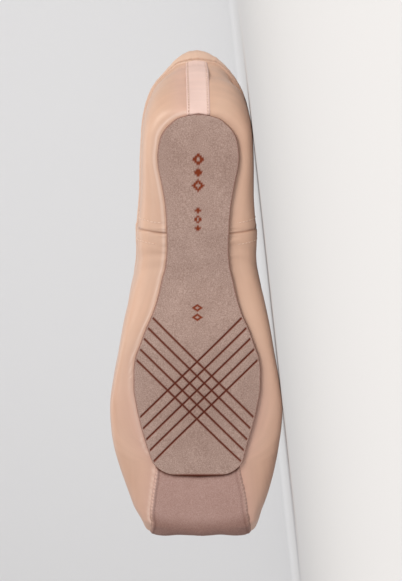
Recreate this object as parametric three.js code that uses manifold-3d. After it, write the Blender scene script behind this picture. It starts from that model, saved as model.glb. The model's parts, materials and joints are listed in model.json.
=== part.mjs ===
// A pointe shoe, seen and modelled as its maker builds it: a satin upper lasted over a box, a suede outsole,
// a suede patch round the platform, a strip up the back of the heel, a bound collar and an insole.
//
// The shoe is made upright in its own frame, in millimetres: x runs from the back of the heel to the toe,
// y to the left, z up, and z = 0 is the plane that heel and forefoot tread on. It is then laid on its right side.
import * as THREE from "three";
import { mergeVertices } from "three/addons/utils/BufferGeometryUtils.js";
import { ConvexHull } from "three/addons/math/ConvexHull.js";
import Module from "manifold-3d";

const wasm = await Module();
wasm.setup();

// Driving sizes of the last
const LAST_LENGTH = 238.5;
const BALL_WIDTH = 84.8;
const HEEL_WIDTH = 54.2;
const HEEL_DEPTH = 40;
const HEEL_POINT = 1.85;
const CROWN_HEIGHT = 48;
const PLATFORM_WIDTH = 54;
const PLATFORM_DEPTH = 8;
const ARCH_RISE = 3;
const TOE_SPRING = 4;

// Driving sizes of the collar
const HEEL_HEIGHT = 47;
const SIDE_HEIGHT = 34;
const VAMP_LENGTH = 82;
const THROAT_WIDTH = 56;
const BINDING_WIDTH = 7;
const BINDING_THICKNESS = 0.9;

// Driving sizes of the walls and the layers on them
const QUARTER_WALL = 1.6;
const BOX_WALL = 3;
const VAMP_STEP = 0.5;
const SEAM_AT = 84;
const SEAM_BEVEL = 1.2;
const STRIP_WIDTH = 11.4;
const STRIP_THICKNESS = 0.5;
const PATCH_THICKNESS = 1;
const TIP_FLATTENING = 0.35;
const PATCH_HEIGHT = 27;
const PATCH_UNDER_SOLE = 12;
const INSOLE_THICKNESS = 1.5;
const INSOLE_PAST_SOLE = 12;

// Driving sizes of the outsole
const SOLE_SETBACK = 25.7;
const SOLE_LENGTH = 180.2;
const SOLE_BALL_WIDTH = 62.6;
const SOLE_THICKNESS = 2;
const LASTING_MARGIN = 8;
const GROOVE_WIDTH = 1.1;
const GROOVE_DEPTH = 0.5;
const GROOVE_PITCH = 5.1;
const GROOVE_COUNT = 5;
const GROOVE_INSET = 0.9;
const GROOVES_AT = 0.758;

// Clearance that every two pieces keep
const GAP = 0.3;

// Where the level stretches of the tread end, as shares of the last's length
const HEEL_SEAT_END = 0.32 * LAST_LENGTH;
const TREAD_START = 0.59 * LAST_LENGTH;
const TREAD_END = 0.81 * LAST_LENGTH;

// The last between heel and platform. at: share of the last's length. width: 0 is the heel's half width and 1
// the ball's. widest and crown: heights of the widest line and of the top, as shares of CROWN_HEIGHT.
// below and above: how square the section is under and over its widest line, 2 being an ellipse.
const SECTIONS = [
  { at: 0.161, width: 0.0, widest: 0.36, crown: 1.42, below: 3.6, above: 2.8 },
  { at: 0.22, width: 0.035, widest: 0.35, crown: 1.4, below: 3.6, above: 2.8 },
  { at: 0.279, width: 0.045, widest: 0.34, crown: 1.36, below: 3.6, above: 2.8 },
  { at: 0.321, width: 0.09, widest: 0.33, crown: 1.32, below: 3.6, above: 2.8 },
  { at: 0.355, width: 0.13, widest: 0.32, crown: 1.28, below: 3.6, above: 2.8 },
  { at: 0.406, width: 0.12, widest: 0.31, crown: 1.22, below: 3.7, above: 2.8 },
  { at: 0.49, width: 0.358, widest: 0.29, crown: 1.11, below: 4.2, above: 2.8 },
  { at: 0.554, width: 0.565, widest: 0.27, crown: 1.04, below: 4.8, above: 2.8 },
  { at: 0.617, width: 0.738, widest: 0.25, crown: 1.01, below: 5.4, above: 2.9 },
  { at: 0.664, width: 0.876, widest: 0.24, crown: 0.99, below: 6, above: 3.0 },
  { at: 0.727, width: 1.0, widest: 0.24, crown: 0.943, below: 6, above: 3.0 },
  { at: 0.765, width: 0.97, widest: 0.24, crown: 0.9, below: 5.8, above: 3.0 },
  { at: 0.808, width: 0.885, widest: 0.24, crown: 0.844, below: 5, above: 3.0 },
  { at: 0.85, width: 0.75, widest: 0.24, crown: 0.775, below: 4, above: 3.0 },
  { at: 0.892, width: 0.575, widest: 0.24, crown: 0.698, below: 3.2, above: 3.0 },
  { at: 0.934, width: 0.37, widest: 0.24, crown: 0.61, below: 2.7, above: 3.1 },
  { at: 0.96, width: 0.22, widest: 0.24, crown: 0.548, below: 2.2, above: 3.4 },
];

// The two ends, where the sections turn round an upright axis
const HEEL_BACK = { widest: 0.98, below: 1.15 };
const PLATFORM_FRONT = { widest: 0.2, below: 3, above: 6, flat: 0.3, corner: 6 };

// The outsole's outline. at: share of its length. half: share of its half width at the ball.
const SOLE_OUTLINE = [
  { at: 0.0, half: 0.0 },
  { at: 0.0055, half: 0.19 },
  { at: 0.013, half: 0.33 },
  { at: 0.026, half: 0.425 },
  { at: 0.042, half: 0.515 },
  { at: 0.066, half: 0.592 },
  { at: 0.092, half: 0.622 },
  { at: 0.116, half: 0.634 },
  { at: 0.14, half: 0.625 },
  { at: 0.182, half: 0.577 },
  { at: 0.256, half: 0.508 },
  { at: 0.312, half: 0.488 },
  { at: 0.364, half: 0.482 },
  { at: 0.417, half: 0.505 },
  { at: 0.453, half: 0.556 },
  { at: 0.497, half: 0.612 },
  { at: 0.543, half: 0.693 },
  { at: 0.59, half: 0.812 },
  { at: 0.635, half: 0.905 },
  { at: 0.67, half: 0.975 },
  { at: 0.707, half: 1.0 },
  { at: 0.75, half: 1.0 },
  { at: 0.8, half: 0.959 },
  { at: 0.842, half: 0.909 },
  { at: 0.893, half: 0.83 },
  { at: 0.927, half: 0.773 },
  { at: 0.962, half: 0.71 },
  { at: 0.979, half: 0.62 },
  { at: 0.99, half: 0.52 },
  { at: 0.9965, half: 0.39 },
  { at: 1.0, half: 0.0 },
];

// The suede patch's edge on the underside. at: share of the way from the sole's end to the last's end.
// half: share of PLATFORM_WIDTH / 2.
const PATCH_EDGE = [
  { at: -0.2, half: 0.76 },
  { at: 0.0, half: 0.8 },
  { at: 0.3, half: 0.865 },
  { at: 0.6, half: 0.905 },
  { at: 1.0, half: 0.945 },
];

// Grid density of the last
const HEEL_STEPS = 7;
const SIDE_STEPS = 22;
const TOE_STEPS = 7;
const BELOW_STEPS = 5;
const ABOVE_STEPS = 7;

const mix = (a, b, t) => a + (b - a) * t;
const clamp01 = (t) => Math.min(1, Math.max(0, t));
const smoothStep = (t) => clamp01(t) ** 2 * (3 - 2 * clamp01(t));

// A column of a table at any place, on cubic curves that never overshoot the rows.
function column(rows, name, at) {
  const n = rows.length - 1;
  if (at <= rows[0].at) return rows[0][name];
  if (at >= rows[n].at) return rows[n][name];
  const i = rows.findIndex((row) => row.at > at) - 1;
  const slope = (k) => (rows[k + 1][name] - rows[k][name]) / (rows[k + 1].at - rows[k].at);
  const tangent = (k) => {
    if (k === 0) return slope(0);
    if (k === n) return slope(n - 1);
    const before = slope(k - 1);
    const after = slope(k);
    return before * after <= 0 ? 0 : (2 * before * after) / (before + after);
  };
  const span = rows[i + 1].at - rows[i].at;
  const t = (at - rows[i].at) / span;
  return (
    (2 * t ** 3 - 3 * t ** 2 + 1) * rows[i][name] +
    (t ** 3 - 2 * t ** 2 + t) * span * tangent(i) +
    (3 * t ** 2 - 2 * t ** 3) * rows[i + 1][name] +
    (t ** 3 - t ** 2) * span * tangent(i + 1)
  );
}

// The underside of the last, in side view: level at heel and forefoot, arched between, and sprung at the toe.
const SPRING_LENGTH = LAST_LENGTH - TREAD_END;
function rise(x) {
  const arch = (x - HEEL_SEAT_END) / (TREAD_START - HEEL_SEAT_END);
  const spring = (x - TREAD_END) / SPRING_LENGTH;
  if (arch > 0 && arch < 1) return ARCH_RISE * Math.sin(Math.PI * arch) ** 2;
  return spring > 0 ? TOE_SPRING * spring ** 2 : 0;
}
const LAST_BOTTOM = SOLE_THICKNESS + GAP;
const bottomAt = (x) => LAST_BOTTOM + rise(x);

// Half widths of the outsole, of the patch and of the level underside of the last, at x.
const SOLE_END = SOLE_SETBACK + SOLE_LENGTH;
const SOLE_REVEAL = 0.8;
function soleHalf(x) {
  return (SOLE_BALL_WIDTH / 2) * column(SOLE_OUTLINE, "half", (x - SOLE_SETBACK) / SOLE_LENGTH);
}
function patchHalf(x) {
  return (PLATFORM_WIDTH / 2) * column(PATCH_EDGE, "half", (x - SOLE_END) / (LAST_LENGTH - SOLE_END));
}
function flatHalf(x) {
  const toe = smoothStep((x - (SOLE_END - 14)) / 10);
  return mix(soleHalf(x) + SOLE_REVEAL, patchHalf(x), toe);
}

const HEEL_CENTRE = HEEL_DEPTH;
const TOE_CENTRE = LAST_LENGTH - PLATFORM_DEPTH;
const lastHalf = (x) => mix(HEEL_WIDTH, BALL_WIDTH, column(SECTIONS, "width", x / LAST_LENGTH)) / 2;

// The section of the last at a point x of its axis, as heights over the last's bottom there.
function sectionAt(x) {
  const at = x / LAST_LENGTH;
  return {
    widest: CROWN_HEIGHT * column(SECTIONS, "widest", at),
    crown: CROWN_HEIGHT * column(SECTIONS, "crown", at),
    below: column(SECTIONS, "below", at),
    above: column(SECTIONS, "above", at),
  };
}

// A place on the last's outline on its left side, with the profile that starts from its axis there.
function heelStation(angle) {
  const side = sectionAt(HEEL_CENTRE);
  const power = 2 / HEEL_POINT;
  const edge = [
    -HEEL_DEPTH * Math.cos(angle) ** power,
    lastHalf(HEEL_CENTRE) * Math.sin(angle) ** power,
  ];
  const turn = Math.atan2(edge[1], -edge[0]);
  const back = Math.cos(turn) ** 2;
  const flatBack = HEEL_CENTRE - SOLE_SETBACK + SOLE_REVEAL;
  return {
    axis: HEEL_CENTRE,
    edge,
    flat: 1 / Math.hypot(Math.cos(turn) / flatBack, Math.sin(turn) / flatHalf(HEEL_CENTRE)),
    widest: mix(side.widest, HEEL_BACK.widest * HEEL_HEIGHT, back),
    crown: side.crown,
    below: mix(side.below, HEEL_BACK.below, back),
    above: side.above,
  };
}
function sideStation(x) {
  return { axis: x, edge: [0, lastHalf(x)], flat: flatHalf(x), ...sectionAt(x) };
}
function toeStation(angle) {
  const side = sectionAt(TOE_CENTRE);
  const forward = PLATFORM_DEPTH * Math.sin(angle) ** (2 / PLATFORM_FRONT.corner);
  const taper = mix(lastHalf(TOE_CENTRE), PLATFORM_WIDTH / 2, forward / PLATFORM_DEPTH);
  const edge = [forward, taper * Math.max(0, Math.cos(angle)) ** (2 / PLATFORM_FRONT.corner)];
  const turn = Math.atan2(edge[1], edge[0]);
  const front = Math.cos(turn) ** 2;
  const flatFront = PLATFORM_FRONT.flat * PLATFORM_DEPTH;
  const n = 4;
  return {
    axis: TOE_CENTRE,
    edge,
    flat: (Math.abs(Math.cos(turn) / flatFront) ** n + Math.abs(Math.sin(turn) / flatHalf(TOE_CENTRE)) ** n) ** (-1 / n),
    widest: mix(side.widest, PLATFORM_FRONT.widest * CROWN_HEIGHT, front),
    crown: side.crown,
    below: mix(side.below, PLATFORM_FRONT.below, front),
    above: mix(side.above, PLATFORM_FRONT.above, front),
  };
}

// Where along the shoe its sides have a station.
function sidePlaces() {
  const places = [SEAM_AT - SEAM_BEVEL / 2, SEAM_AT + SEAM_BEVEL / 2];
  for (let i = 0; i <= SIDE_STEPS; i++) {
    const x = mix(HEEL_CENTRE, TOE_CENTRE, i / SIDE_STEPS);
    if (Math.abs(x - SEAM_AT) > 2 * SEAM_BEVEL) places.push(x);
  }
  return places.sort((a, b) => a - b);
}

// The stations from the middle of the heel, along the left side, to the middle of the platform.
function leftStations() {
  const stations = [];
  for (let i = 0; i < HEEL_STEPS; i++) stations.push(heelStation(((Math.PI / 2) * i) / HEEL_STEPS));
  stations.push(...sidePlaces().map(sideStation));
  for (let i = 1; i <= TOE_STEPS; i++) stations.push(toeStation(((Math.PI / 2) * i) / TOE_STEPS));
  return stations;
}

// The profile of one station, from the axis under the last, out to its edge and up to the axis on top.
function profile(station, side) {
  const reach = Math.hypot(...station.edge);
  const along = station.edge[0] / reach;
  const across = (side * station.edge[1]) / reach;
  const points = [[0, 0]];
  for (let i = 0; i <= BELOW_STEPS; i++) {
    const a = ((Math.PI / 2) * i) / BELOW_STEPS;
    const power = 2 / station.below;
    points.push([
      mix(station.flat, reach, Math.sin(a) ** power),
      station.widest * (1 - Math.max(0, Math.cos(a)) ** power),
    ]);
  }
  for (let i = 1; i <= ABOVE_STEPS; i++) {
    const a = ((Math.PI / 2) * i) / ABOVE_STEPS;
    const power = 2 / station.above;
    points.push([
      reach * Math.max(0, Math.cos(a)) ** power,
      mix(station.widest, station.crown, Math.sin(a) ** power),
    ]);
  }
  return points.map(([r, z]) => {
    const x = station.axis + along * r;
    return new THREE.Vector3(x, across * r, bottomAt(x) + z);
  });
}

// Faces that have an area, as a geometry of merged points.
function closedGeometry(geometry) {
  geometry.deleteAttribute("normal");
  geometry.deleteAttribute("uv");
  const merged = mergeVertices(geometry, 1e-4);
  const index = merged.index.array;
  const kept = [];
  for (let i = 0; i < index.length; i += 3) {
    const [a, b, c] = [index[i], index[i + 1], index[i + 2]];
    if (a !== b && b !== c && c !== a) kept.push(a, b, c);
  }
  merged.setIndex(kept);
  return merged;
}

// A closed skin through rings of points that go once round an upright line and start and end on it.
function ringGeometry(rings) {
  const positions = rings.flat().flatMap((p) => p.toArray());
  const wide = rings[0].length;
  const faces = [];
  rings.forEach((_, i) => {
    const next = (i + 1) % rings.length;
    for (let j = 0; j < wide - 1; j++) {
      const [a, b, c, d] = [i * wide + j, next * wide + j, next * wide + j + 1, i * wide + j + 1];
      faces.push(a, c, b, a, d, c);
    }
  });
  const geometry = new THREE.BufferGeometry();
  geometry.setAttribute("position", new THREE.Float32BufferAttribute(positions, 3));
  geometry.setIndex(faces);
  return closedGeometry(geometry);
}
function bothSides(left, ringOf) {
  const right = left.slice(1, -1).reverse();
  return [...left.map((item) => ringOf(item, 1)), ...right.map((item) => ringOf(item, -1))];
}
const LAST = ringGeometry(bothSides(leftStations(), profile));
LAST.computeVertexNormals();

function solid(geometry) {
  return new wasm.Manifold(
    new wasm.Mesh({
      numProp: 3,
      vertProperties: new Float32Array(geometry.attributes.position.array),
      triVerts: new Uint32Array(geometry.index.array),
    }),
  );
}

// The last grown outwards by a distance that may depend on x and on how far up the face looks, or shrunk.
function form(distance) {
  const geometry = LAST.clone();
  const position = geometry.attributes.position;
  const normal = geometry.attributes.normal;
  for (let i = 0; i < position.count; i++) {
    const d = distance(position.getX(i), normal.getZ(i));
    position.setXYZ(
      i,
      position.getX(i) + d * normal.getX(i),
      position.getY(i) + d * normal.getY(i),
      position.getZ(i) + d * normal.getZ(i),
    );
  }
  return solid(geometry);
}
const wallAt = (x) => mix(QUARTER_WALL, BOX_WALL, smoothStep((x / LAST_LENGTH - 0.6) / 0.15));
const layerAt = (x, up) => (x > SEAM_AT ? VAMP_STEP * clamp01(1 + up) : 0);
const outer = (extra) => form((x, up) => layerAt(x, up) + extra);
const inner = (extra) => form((x) => -wallAt(x) - extra);

const REACH = 2 * BALL_WIDTH;

// A prism on an outline in plan, between two heights.
function planPrism(points, low, high) {
  const shape = new THREE.Shape(points.map(([x, y]) => new THREE.Vector2(x, y)));
  const geometry = new THREE.ExtrudeGeometry(shape, { depth: high - low, bevelEnabled: false });
  geometry.translate(0, 0, low);
  return solid(closedGeometry(geometry));
}

// Everything between two places along the shoe, out to a half width.
function stretchPrism(from, to, half) {
  return planPrism(
    [
      [from, -half],
      [to, -half],
      [to, half],
      [from, half],
    ],
    -REACH,
    REACH,
  );
}

// A prism on an outline in side view, as wide as the shoe.
function sidePrism(points) {
  const shape = new THREE.Shape(points.map(([x, z]) => new THREE.Vector2(x, z)));
  const geometry = new THREE.ExtrudeGeometry(shape, { depth: REACH, bevelEnabled: false });
  geometry.rotateX(Math.PI / 2);
  geometry.translate(0, REACH / 2, 0);
  return solid(closedGeometry(geometry));
}

// The stretch between two heights over the last's underside, all along the shoe.
function slab(low, high) {
  const places = [-REACH, ...sidePlaces(), LAST_LENGTH, LAST_LENGTH + REACH];
  const xs = places.filter((x, i) => i === 0 || rise(x) > 0 || rise(places[i - 1]) > 0 || rise(places[i + 1]) > 0);
  const lower = xs.map((x) => [x, bottomAt(x) + low(x)]);
  const upper = xs.map((x) => [x, bottomAt(x) + high(x)]).reverse();
  return sidePrism([...lower, ...upper]);
}

// The outsole's outline grown by a margin, as a closed loop in plan.
function soleLoop(margin) {
  const left = SOLE_OUTLINE.map((row) => [
    SOLE_SETBACK + SOLE_LENGTH * row.at,
    (SOLE_BALL_WIDTH / 2) * row.half,
  ]);
  const loop = [...left, ...left.slice(1, -1).reverse().map(([x, y]) => [x, -y])];
  const n = loop.length;
  return loop.map(([x, y], i) => {
    const [x0, y0] = loop[(i + n - 1) % n];
    const [x1, y1] = loop[(i + 1) % n];
    const long = Math.hypot(x1 - x0, y1 - y0);
    return [x - (margin * (y1 - y0)) / long, y + (margin * (x1 - x0)) / long];
  });
}
const solePrism = (margin, low, high) => planPrism(soleLoop(margin), low, high);

// The hole that the lasting margin leaves under the last, by how far it stays inside the outsole.
function holePrism(margin, low, high) {
  const left = SOLE_OUTLINE.map((row) => [
    SOLE_SETBACK + SOLE_LENGTH * row.at,
    (SOLE_BALL_WIDTH / 2) * row.half - margin,
  ]).filter(([, y]) => y > 0);
  const right = left.map(([x, y]) => [x, -y]).reverse();
  return planPrism([...left, ...right], low, high).intersect(
    stretchPrism(SOLE_SETBACK + margin, SOLE_END - margin, REACH),
  );
}

// The collar's edge, a line on the last from the middle of the heel, along the side, to the tip of the throat.
const THROAT_AT = LAST_LENGTH - VAMP_LENGTH;
const THROAT_DEPTH = 0.62 * VAMP_LENGTH;
const THROAT_ROUND = 2.2;
const THROAT_END = THROAT_AT - 0.72 * THROAT_DEPTH;
const COLLAR_LOW_AT = 0.37 * LAST_LENGTH;
const HEEL_DIP = 0.12;
const COLLAR_HEEL_STEPS = 6;
const COLLAR_SIDE_STEPS = 12;
const COLLAR_THROAT_STEPS = 9;

function throatHalf(x) {
  const t = clamp01((x - (THROAT_AT - THROAT_DEPTH)) / THROAT_DEPTH);
  return (THROAT_WIDTH / 2) * (1 - t ** THROAT_ROUND) ** (1 / THROAT_ROUND);
}
function topHeight(x) {
  const s = sectionAt(x);
  const share = throatHalf(x) / lastHalf(x);
  return bottomAt(x) + mix(s.widest, s.crown, (1 - share ** s.above) ** (1 / s.above));
}
function curve(x, [x0, y0, s0], [x1, y1, s1]) {
  const span = x1 - x0;
  const t = (x - x0) / span;
  return (
    (2 * t ** 3 - 3 * t ** 2 + 1) * y0 +
    (t ** 3 - 2 * t ** 2 + t) * span * s0 +
    (3 * t ** 2 - 2 * t ** 3) * y1 +
    (t ** 3 - t ** 2) * span * s1
  );
}
function collarHeight(x) {
  const low = [COLLAR_LOW_AT, LAST_BOTTOM + SIDE_HEIGHT, 0];
  if (x < COLLAR_LOW_AT) return curve(x, [0, LAST_BOTTOM + HEEL_HEIGHT, -HEEL_DIP], low);
  const slope = topHeight(THROAT_END + 1) - topHeight(THROAT_END);
  return curve(x, low, [THROAT_END, topHeight(THROAT_END), slope]);
}

// How far out from its axis a station's profile is at a height over the treading plane.
function radiusAt(station, height) {
  const z = height - bottomAt(station.axis);
  const reach = Math.hypot(...station.edge);
  if (z < station.widest) {
    const share = (1 - (1 - z / station.widest) ** station.below) ** (1 / station.below);
    return mix(station.flat, reach, share);
  }
  const up = (z - station.widest) / (station.crown - station.widest);
  return reach * (1 - up ** station.above) ** (1 / station.above);
}
function collarPoint(station, height) {
  const scale = radiusAt(station, height) / Math.hypot(...station.edge);
  const [x, y] = station.edge.map((v) => v * scale);
  return { axis: station.axis, point: new THREE.Vector3(station.axis + x, y, height) };
}
function collarLine() {
  const line = [];
  for (let i = 0; i < COLLAR_HEEL_STEPS; i++) {
    const station = heelStation(((Math.PI / 2) * i) / COLLAR_HEEL_STEPS);
    line.push(collarPoint(station, collarHeight(HEEL_CENTRE + station.edge[0])));
  }
  for (let i = 0; i < COLLAR_SIDE_STEPS; i++) {
    const x = mix(HEEL_CENTRE, THROAT_END, i / COLLAR_SIDE_STEPS);
    line.push(collarPoint(sideStation(x), collarHeight(x)));
  }
  for (let i = 0; i <= COLLAR_THROAT_STEPS; i++) {
    const x = mix(THROAT_END, THROAT_AT, Math.sin(((Math.PI / 2) * i) / COLLAR_THROAT_STEPS));
    line.push({ axis: x, point: new THREE.Vector3(x, throatHalf(x), topHeight(x)) });
  }
  return line;
}

// Everything inside the collar's edge moved down the wall by a margin: blades square to the edge cut the wall.
const BLADE_INWARD = BOX_WALL + 5;
const BLADE_OUTWARD = 5;
const CORE_HEIGHT = 0.5 * CROWN_HEIGHT;
function coreAt(x) {
  const forward = smoothStep((x - HEEL_CENTRE) / (THROAT_AT - HEEL_CENTRE));
  return new THREE.Vector3(x, 0, mix(collarHeight(HEEL_CENTRE), CORE_HEIGHT, forward));
}
const mirrored = (p) => new THREE.Vector3(p.x, -p.y, p.z);
function collarCutter(margin) {
  const line = collarLine();
  const blades = line.map(({ axis, point }, i) => {
    const before = i > 0 ? line[i - 1].point : mirrored(line[1].point);
    const after = i < line.length - 1 ? line[i + 1].point : mirrored(line[i - 1].point);
    const core = coreAt(axis);
    const outward = point.clone().sub(core).normalize();
    const down = outward.clone().cross(after.clone().sub(before)).normalize();
    const edge = point.clone().addScaledVector(down, margin);
    const blade = [-BLADE_INWARD, 0, BLADE_OUTWARD].map((d) => edge.clone().addScaledVector(outward, d));
    return [core, ...blade, new THREE.Vector3(axis, 0, REACH)];
  });
  return solid(ringGeometry(bothSides(blades, (ring, side) => (side > 0 ? ring : ring.map(mirrored)))));
}

function upper() {
  const hole = holePrism(LASTING_MARGIN, -REACH, LAST_BOTTOM + ARCH_RISE + BOX_WALL + INSOLE_THICKNESS);
  return outer(0).subtract(inner(0)).subtract(collarCutter(0)).subtract(hole);
}

function grooves() {
  const middle = SOLE_SETBACK + GROOVES_AT * SOLE_LENGTH;
  const long = 3 * SOLE_BALL_WIDTH;
  let bars;
  for (const turn of [45, -45]) {
    for (let i = 0; i < GROOVE_COUNT; i++) {
      const bar = new THREE.BoxGeometry(long, GROOVE_WIDTH, REACH);
      bar.translate(0, (i - (GROOVE_COUNT - 1) / 2) * GROOVE_PITCH, 0);
      bar.rotateZ(THREE.MathUtils.degToRad(turn));
      bar.translate(middle, 0, 0);
      const made = solid(closedGeometry(bar));
      bars = bars ? bars.add(made) : made;
    }
  }
  const deep = slab(
    () => -REACH,
    () => -SOLE_THICKNESS - GAP + GROOVE_DEPTH,
  );
  return bars.intersect(solePrism(-GROOVE_INSET, -REACH, REACH)).intersect(deep);
}

function outsole() {
  const plate = slab(
    () => -GAP - SOLE_THICKNESS,
    () => -GAP,
  );
  return solePrism(0, -REACH, REACH).intersect(plate).subtract(grooves());
}

function insole() {
  const board = inner(GAP).intersect(
    slab(
      () => 0,
      (x) => wallAt(x) + GAP + INSOLE_THICKNESS,
    ),
  );
  const filler = holePrism(LASTING_MARGIN + GAP, -REACH, REACH).intersect(
    slab(
      () => 0,
      (x) => wallAt(x) + GAP + INSOLE_THICKNESS / 2,
    ),
  );
  return board.add(filler).intersect(stretchPrism(-REACH, SOLE_END + INSOLE_PAST_SOLE, REACH));
}

function collarBinding() {
  const proud = GAP + BINDING_THICKNESS;
  const band = outer(proud).subtract(inner(proud)).intersect(collarCutter(BINDING_WIDTH)).subtract(collarCutter(-proud));
  const slot = outer(GAP).subtract(inner(GAP)).subtract(collarCutter(-GAP));
  return band.subtract(slot);
}

function backStrip() {
  return outer(GAP + STRIP_THICKNESS)
    .subtract(outer(GAP))
    .intersect(stretchPrism(-REACH, HEEL_CENTRE, STRIP_WIDTH / 2))
    .subtract(solePrism(GAP, -REACH, REACH))
    .subtract(collarCutter(BINDING_WIDTH + GAP));
}

function toePatch() {
  const start = SOLE_END - PATCH_UNDER_SOLE;
  const steps = 8;
  const left = [];
  for (let i = 0; i <= steps; i++) {
    const x = mix(start, LAST_LENGTH, i / steps);
    left.push([x, patchHalf(x)]);
  }
  left.push([LAST_LENGTH + REACH, patchHalf(LAST_LENGTH)]);
  const right = left.map(([x, y]) => [x, -y]).reverse();
  const tip = LAST_LENGTH + VAMP_STEP + GAP + PATCH_THICKNESS - TIP_FLATTENING;
  const height = LAST_BOTTOM + PATCH_HEIGHT;
  const side = sidePrism([
    [start, -REACH],
    [tip, -REACH],
    [tip, height],
    [start, LAST_BOTTOM + 0.35 * PATCH_HEIGHT],
  ]);
  return outer(GAP + PATCH_THICKNESS)
    .subtract(outer(GAP))
    .intersect(planPrism([...left, ...right], -REACH, REACH))
    .intersect(side)
    .subtract(solePrism(GAP, -REACH, REACH));
}

// What each piece weighs, in grams per cubic centimetre
const CLOTH_DENSITY = 0.3;
const BOARD_DENSITY = 0.25;
const LEATHER_DENSITY = 0.9;

const satin = { color: "#dcb89c", roughness: 0.42, metalness: 0 };
const suede = { color: "#ac8f82", roughness: 0.95, metalness: 0 };
const PIECES = [
  ["upper", upper(), CLOTH_DENSITY, satin],
  ["outsole", outsole(), LEATHER_DENSITY, suede],
  ["insole", insole(), BOARD_DENSITY, { color: "#d8c9b4", roughness: 0.9, metalness: 0 }],
  ["collar_binding", collarBinding(), CLOTH_DENSITY, { color: "#dcb49a", roughness: 0.5, metalness: 0 }],
  ["back_strip", backStrip(), CLOTH_DENSITY, { color: "#e7cabf", roughness: 0.45, metalness: 0 }],
  ["toe_patch", toePatch(), LEATHER_DENSITY, { color: "#ab8a7e", roughness: 0.95, metalness: 0 }],
];

function geometryOf(made) {
  const mesh = made.getMesh();
  const geometry = new THREE.BufferGeometry();
  geometry.setAttribute("position", new THREE.Float32BufferAttribute(mesh.vertProperties, 3));
  geometry.setIndex([...mesh.triVerts]);
  geometry.computeVertexNormals();
  return geometry;
}

const shoe = new THREE.Group();
for (const [name, made, density, finish] of PIECES) {
  const mesh = new THREE.Mesh(geometryOf(made), new THREE.MeshStandardMaterial(finish));
  mesh.name = name;
  mesh.userData.density = density;
  shoe.add(mesh);
}

// Laid on its right side: the sole faces -Y, the heel is at +X and the wearer's left is up.
shoe.quaternion.setFromRotationMatrix(
  new THREE.Matrix4().makeBasis(
    new THREE.Vector3(-1, 0, 0),
    new THREE.Vector3(0, 0, 1),
    new THREE.Vector3(0, 1, 0),
  ),
);

// The triangles of a piece as the shoe lies, and the shoe's centre of mass.
function worldTriangles(mesh) {
  shoe.updateMatrixWorld(true);
  const position = mesh.geometry.attributes.position;
  const index = mesh.geometry.index.array;
  const corner = (k) => new THREE.Vector3().fromBufferAttribute(position, index[k]).applyMatrix4(mesh.matrixWorld);
  return Array.from({ length: index.length / 3 }, (_, t) => [corner(3 * t), corner(3 * t + 1), corner(3 * t + 2)]);
}
function centreOfMass() {
  const sum = new THREE.Vector3();
  let mass = 0;
  for (const mesh of shoe.children) {
    for (const [a, b, c] of worldTriangles(mesh)) {
      const m = (mesh.userData.density * a.dot(b.clone().cross(c))) / 6;
      mass += m;
      sum.addScaledVector(a.clone().add(b).add(c), m / 4);
    }
  }
  return sum.divideScalar(mass);
}
const worldPoints = () => shoe.children.flatMap((mesh) => worldTriangles(mesh).flat());

// The turn that brings the face it comes to rest on flat onto the floor.
function restingTurn() {
  const centre = centreOfMass();
  const hull = new ConvexHull().setFromPoints(worldPoints());
  const down = new THREE.Vector3(0, 0, -1);
  const stable = hull.faces.filter((face) => {
    const foot = centre.clone().addScaledVector(face.normal, -face.distanceToPoint(centre));
    const corners = [];
    let edge = face.edge;
    do {
      corners.push(edge.head().point);
      edge = edge.next;
    } while (edge !== face.edge);
    return corners.every((from, i) => {
      const to = corners[(i + 1) % corners.length];
      const inward = face.normal.clone().cross(to.clone().sub(from));
      return inward.dot(foot.clone().sub(from)) >= 0;
    });
  });
  stable.sort((a, b) => b.normal.dot(down) - a.normal.dot(down));
  return new THREE.Quaternion().setFromUnitVectors(stable[0].normal, down);
}
shoe.quaternion.premultiply(restingTurn());
const box = new THREE.Box3().setFromPoints(worldPoints());
const middle = box.getCenter(new THREE.Vector3());
shoe.position.set(-middle.x, -middle.y, -box.min.z);

const root = new THREE.Group();
root.add(shoe);
export default root;
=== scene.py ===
"""A satin pointe shoe that lies on its side, seen from its sole.

The shoe's own frame is in millimetres: x runs from the back of the heel to the toe, y to the wearer's left,
z from the sole to the instep, and z = 0 is the plane that heel and forefoot tread on. Each piece is worked
out in that frame and placed in the scene by the record's mounts.
"""

import json
import logging
from collections.abc import Callable
from dataclasses import astuple, dataclass, field
from enum import Enum
from typing import Any

import bmesh
import bpy
import numpy as np
from mathutils import Matrix

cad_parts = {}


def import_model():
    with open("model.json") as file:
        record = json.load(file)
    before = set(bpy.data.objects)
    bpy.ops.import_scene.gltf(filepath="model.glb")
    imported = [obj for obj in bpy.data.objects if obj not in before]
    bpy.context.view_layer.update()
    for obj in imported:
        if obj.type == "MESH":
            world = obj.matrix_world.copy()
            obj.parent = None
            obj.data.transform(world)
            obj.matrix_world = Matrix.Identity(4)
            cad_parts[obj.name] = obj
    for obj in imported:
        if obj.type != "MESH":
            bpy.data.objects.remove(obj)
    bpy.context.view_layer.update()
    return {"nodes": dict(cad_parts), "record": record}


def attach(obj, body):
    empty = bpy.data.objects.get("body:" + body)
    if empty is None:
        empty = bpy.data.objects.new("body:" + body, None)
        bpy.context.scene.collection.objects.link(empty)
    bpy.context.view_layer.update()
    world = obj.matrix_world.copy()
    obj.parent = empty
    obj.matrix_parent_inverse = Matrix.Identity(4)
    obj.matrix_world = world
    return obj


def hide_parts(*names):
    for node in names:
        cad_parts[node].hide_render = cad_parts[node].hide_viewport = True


Array = np.ndarray
log = logging.getLogger("pointe_shoe")

MM = 0.001
TURN = 2 * np.pi


class Side(Enum):
    """A side of the shoe, by the sign of y there."""

    LEFT = 1
    RIGHT = -1


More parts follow.
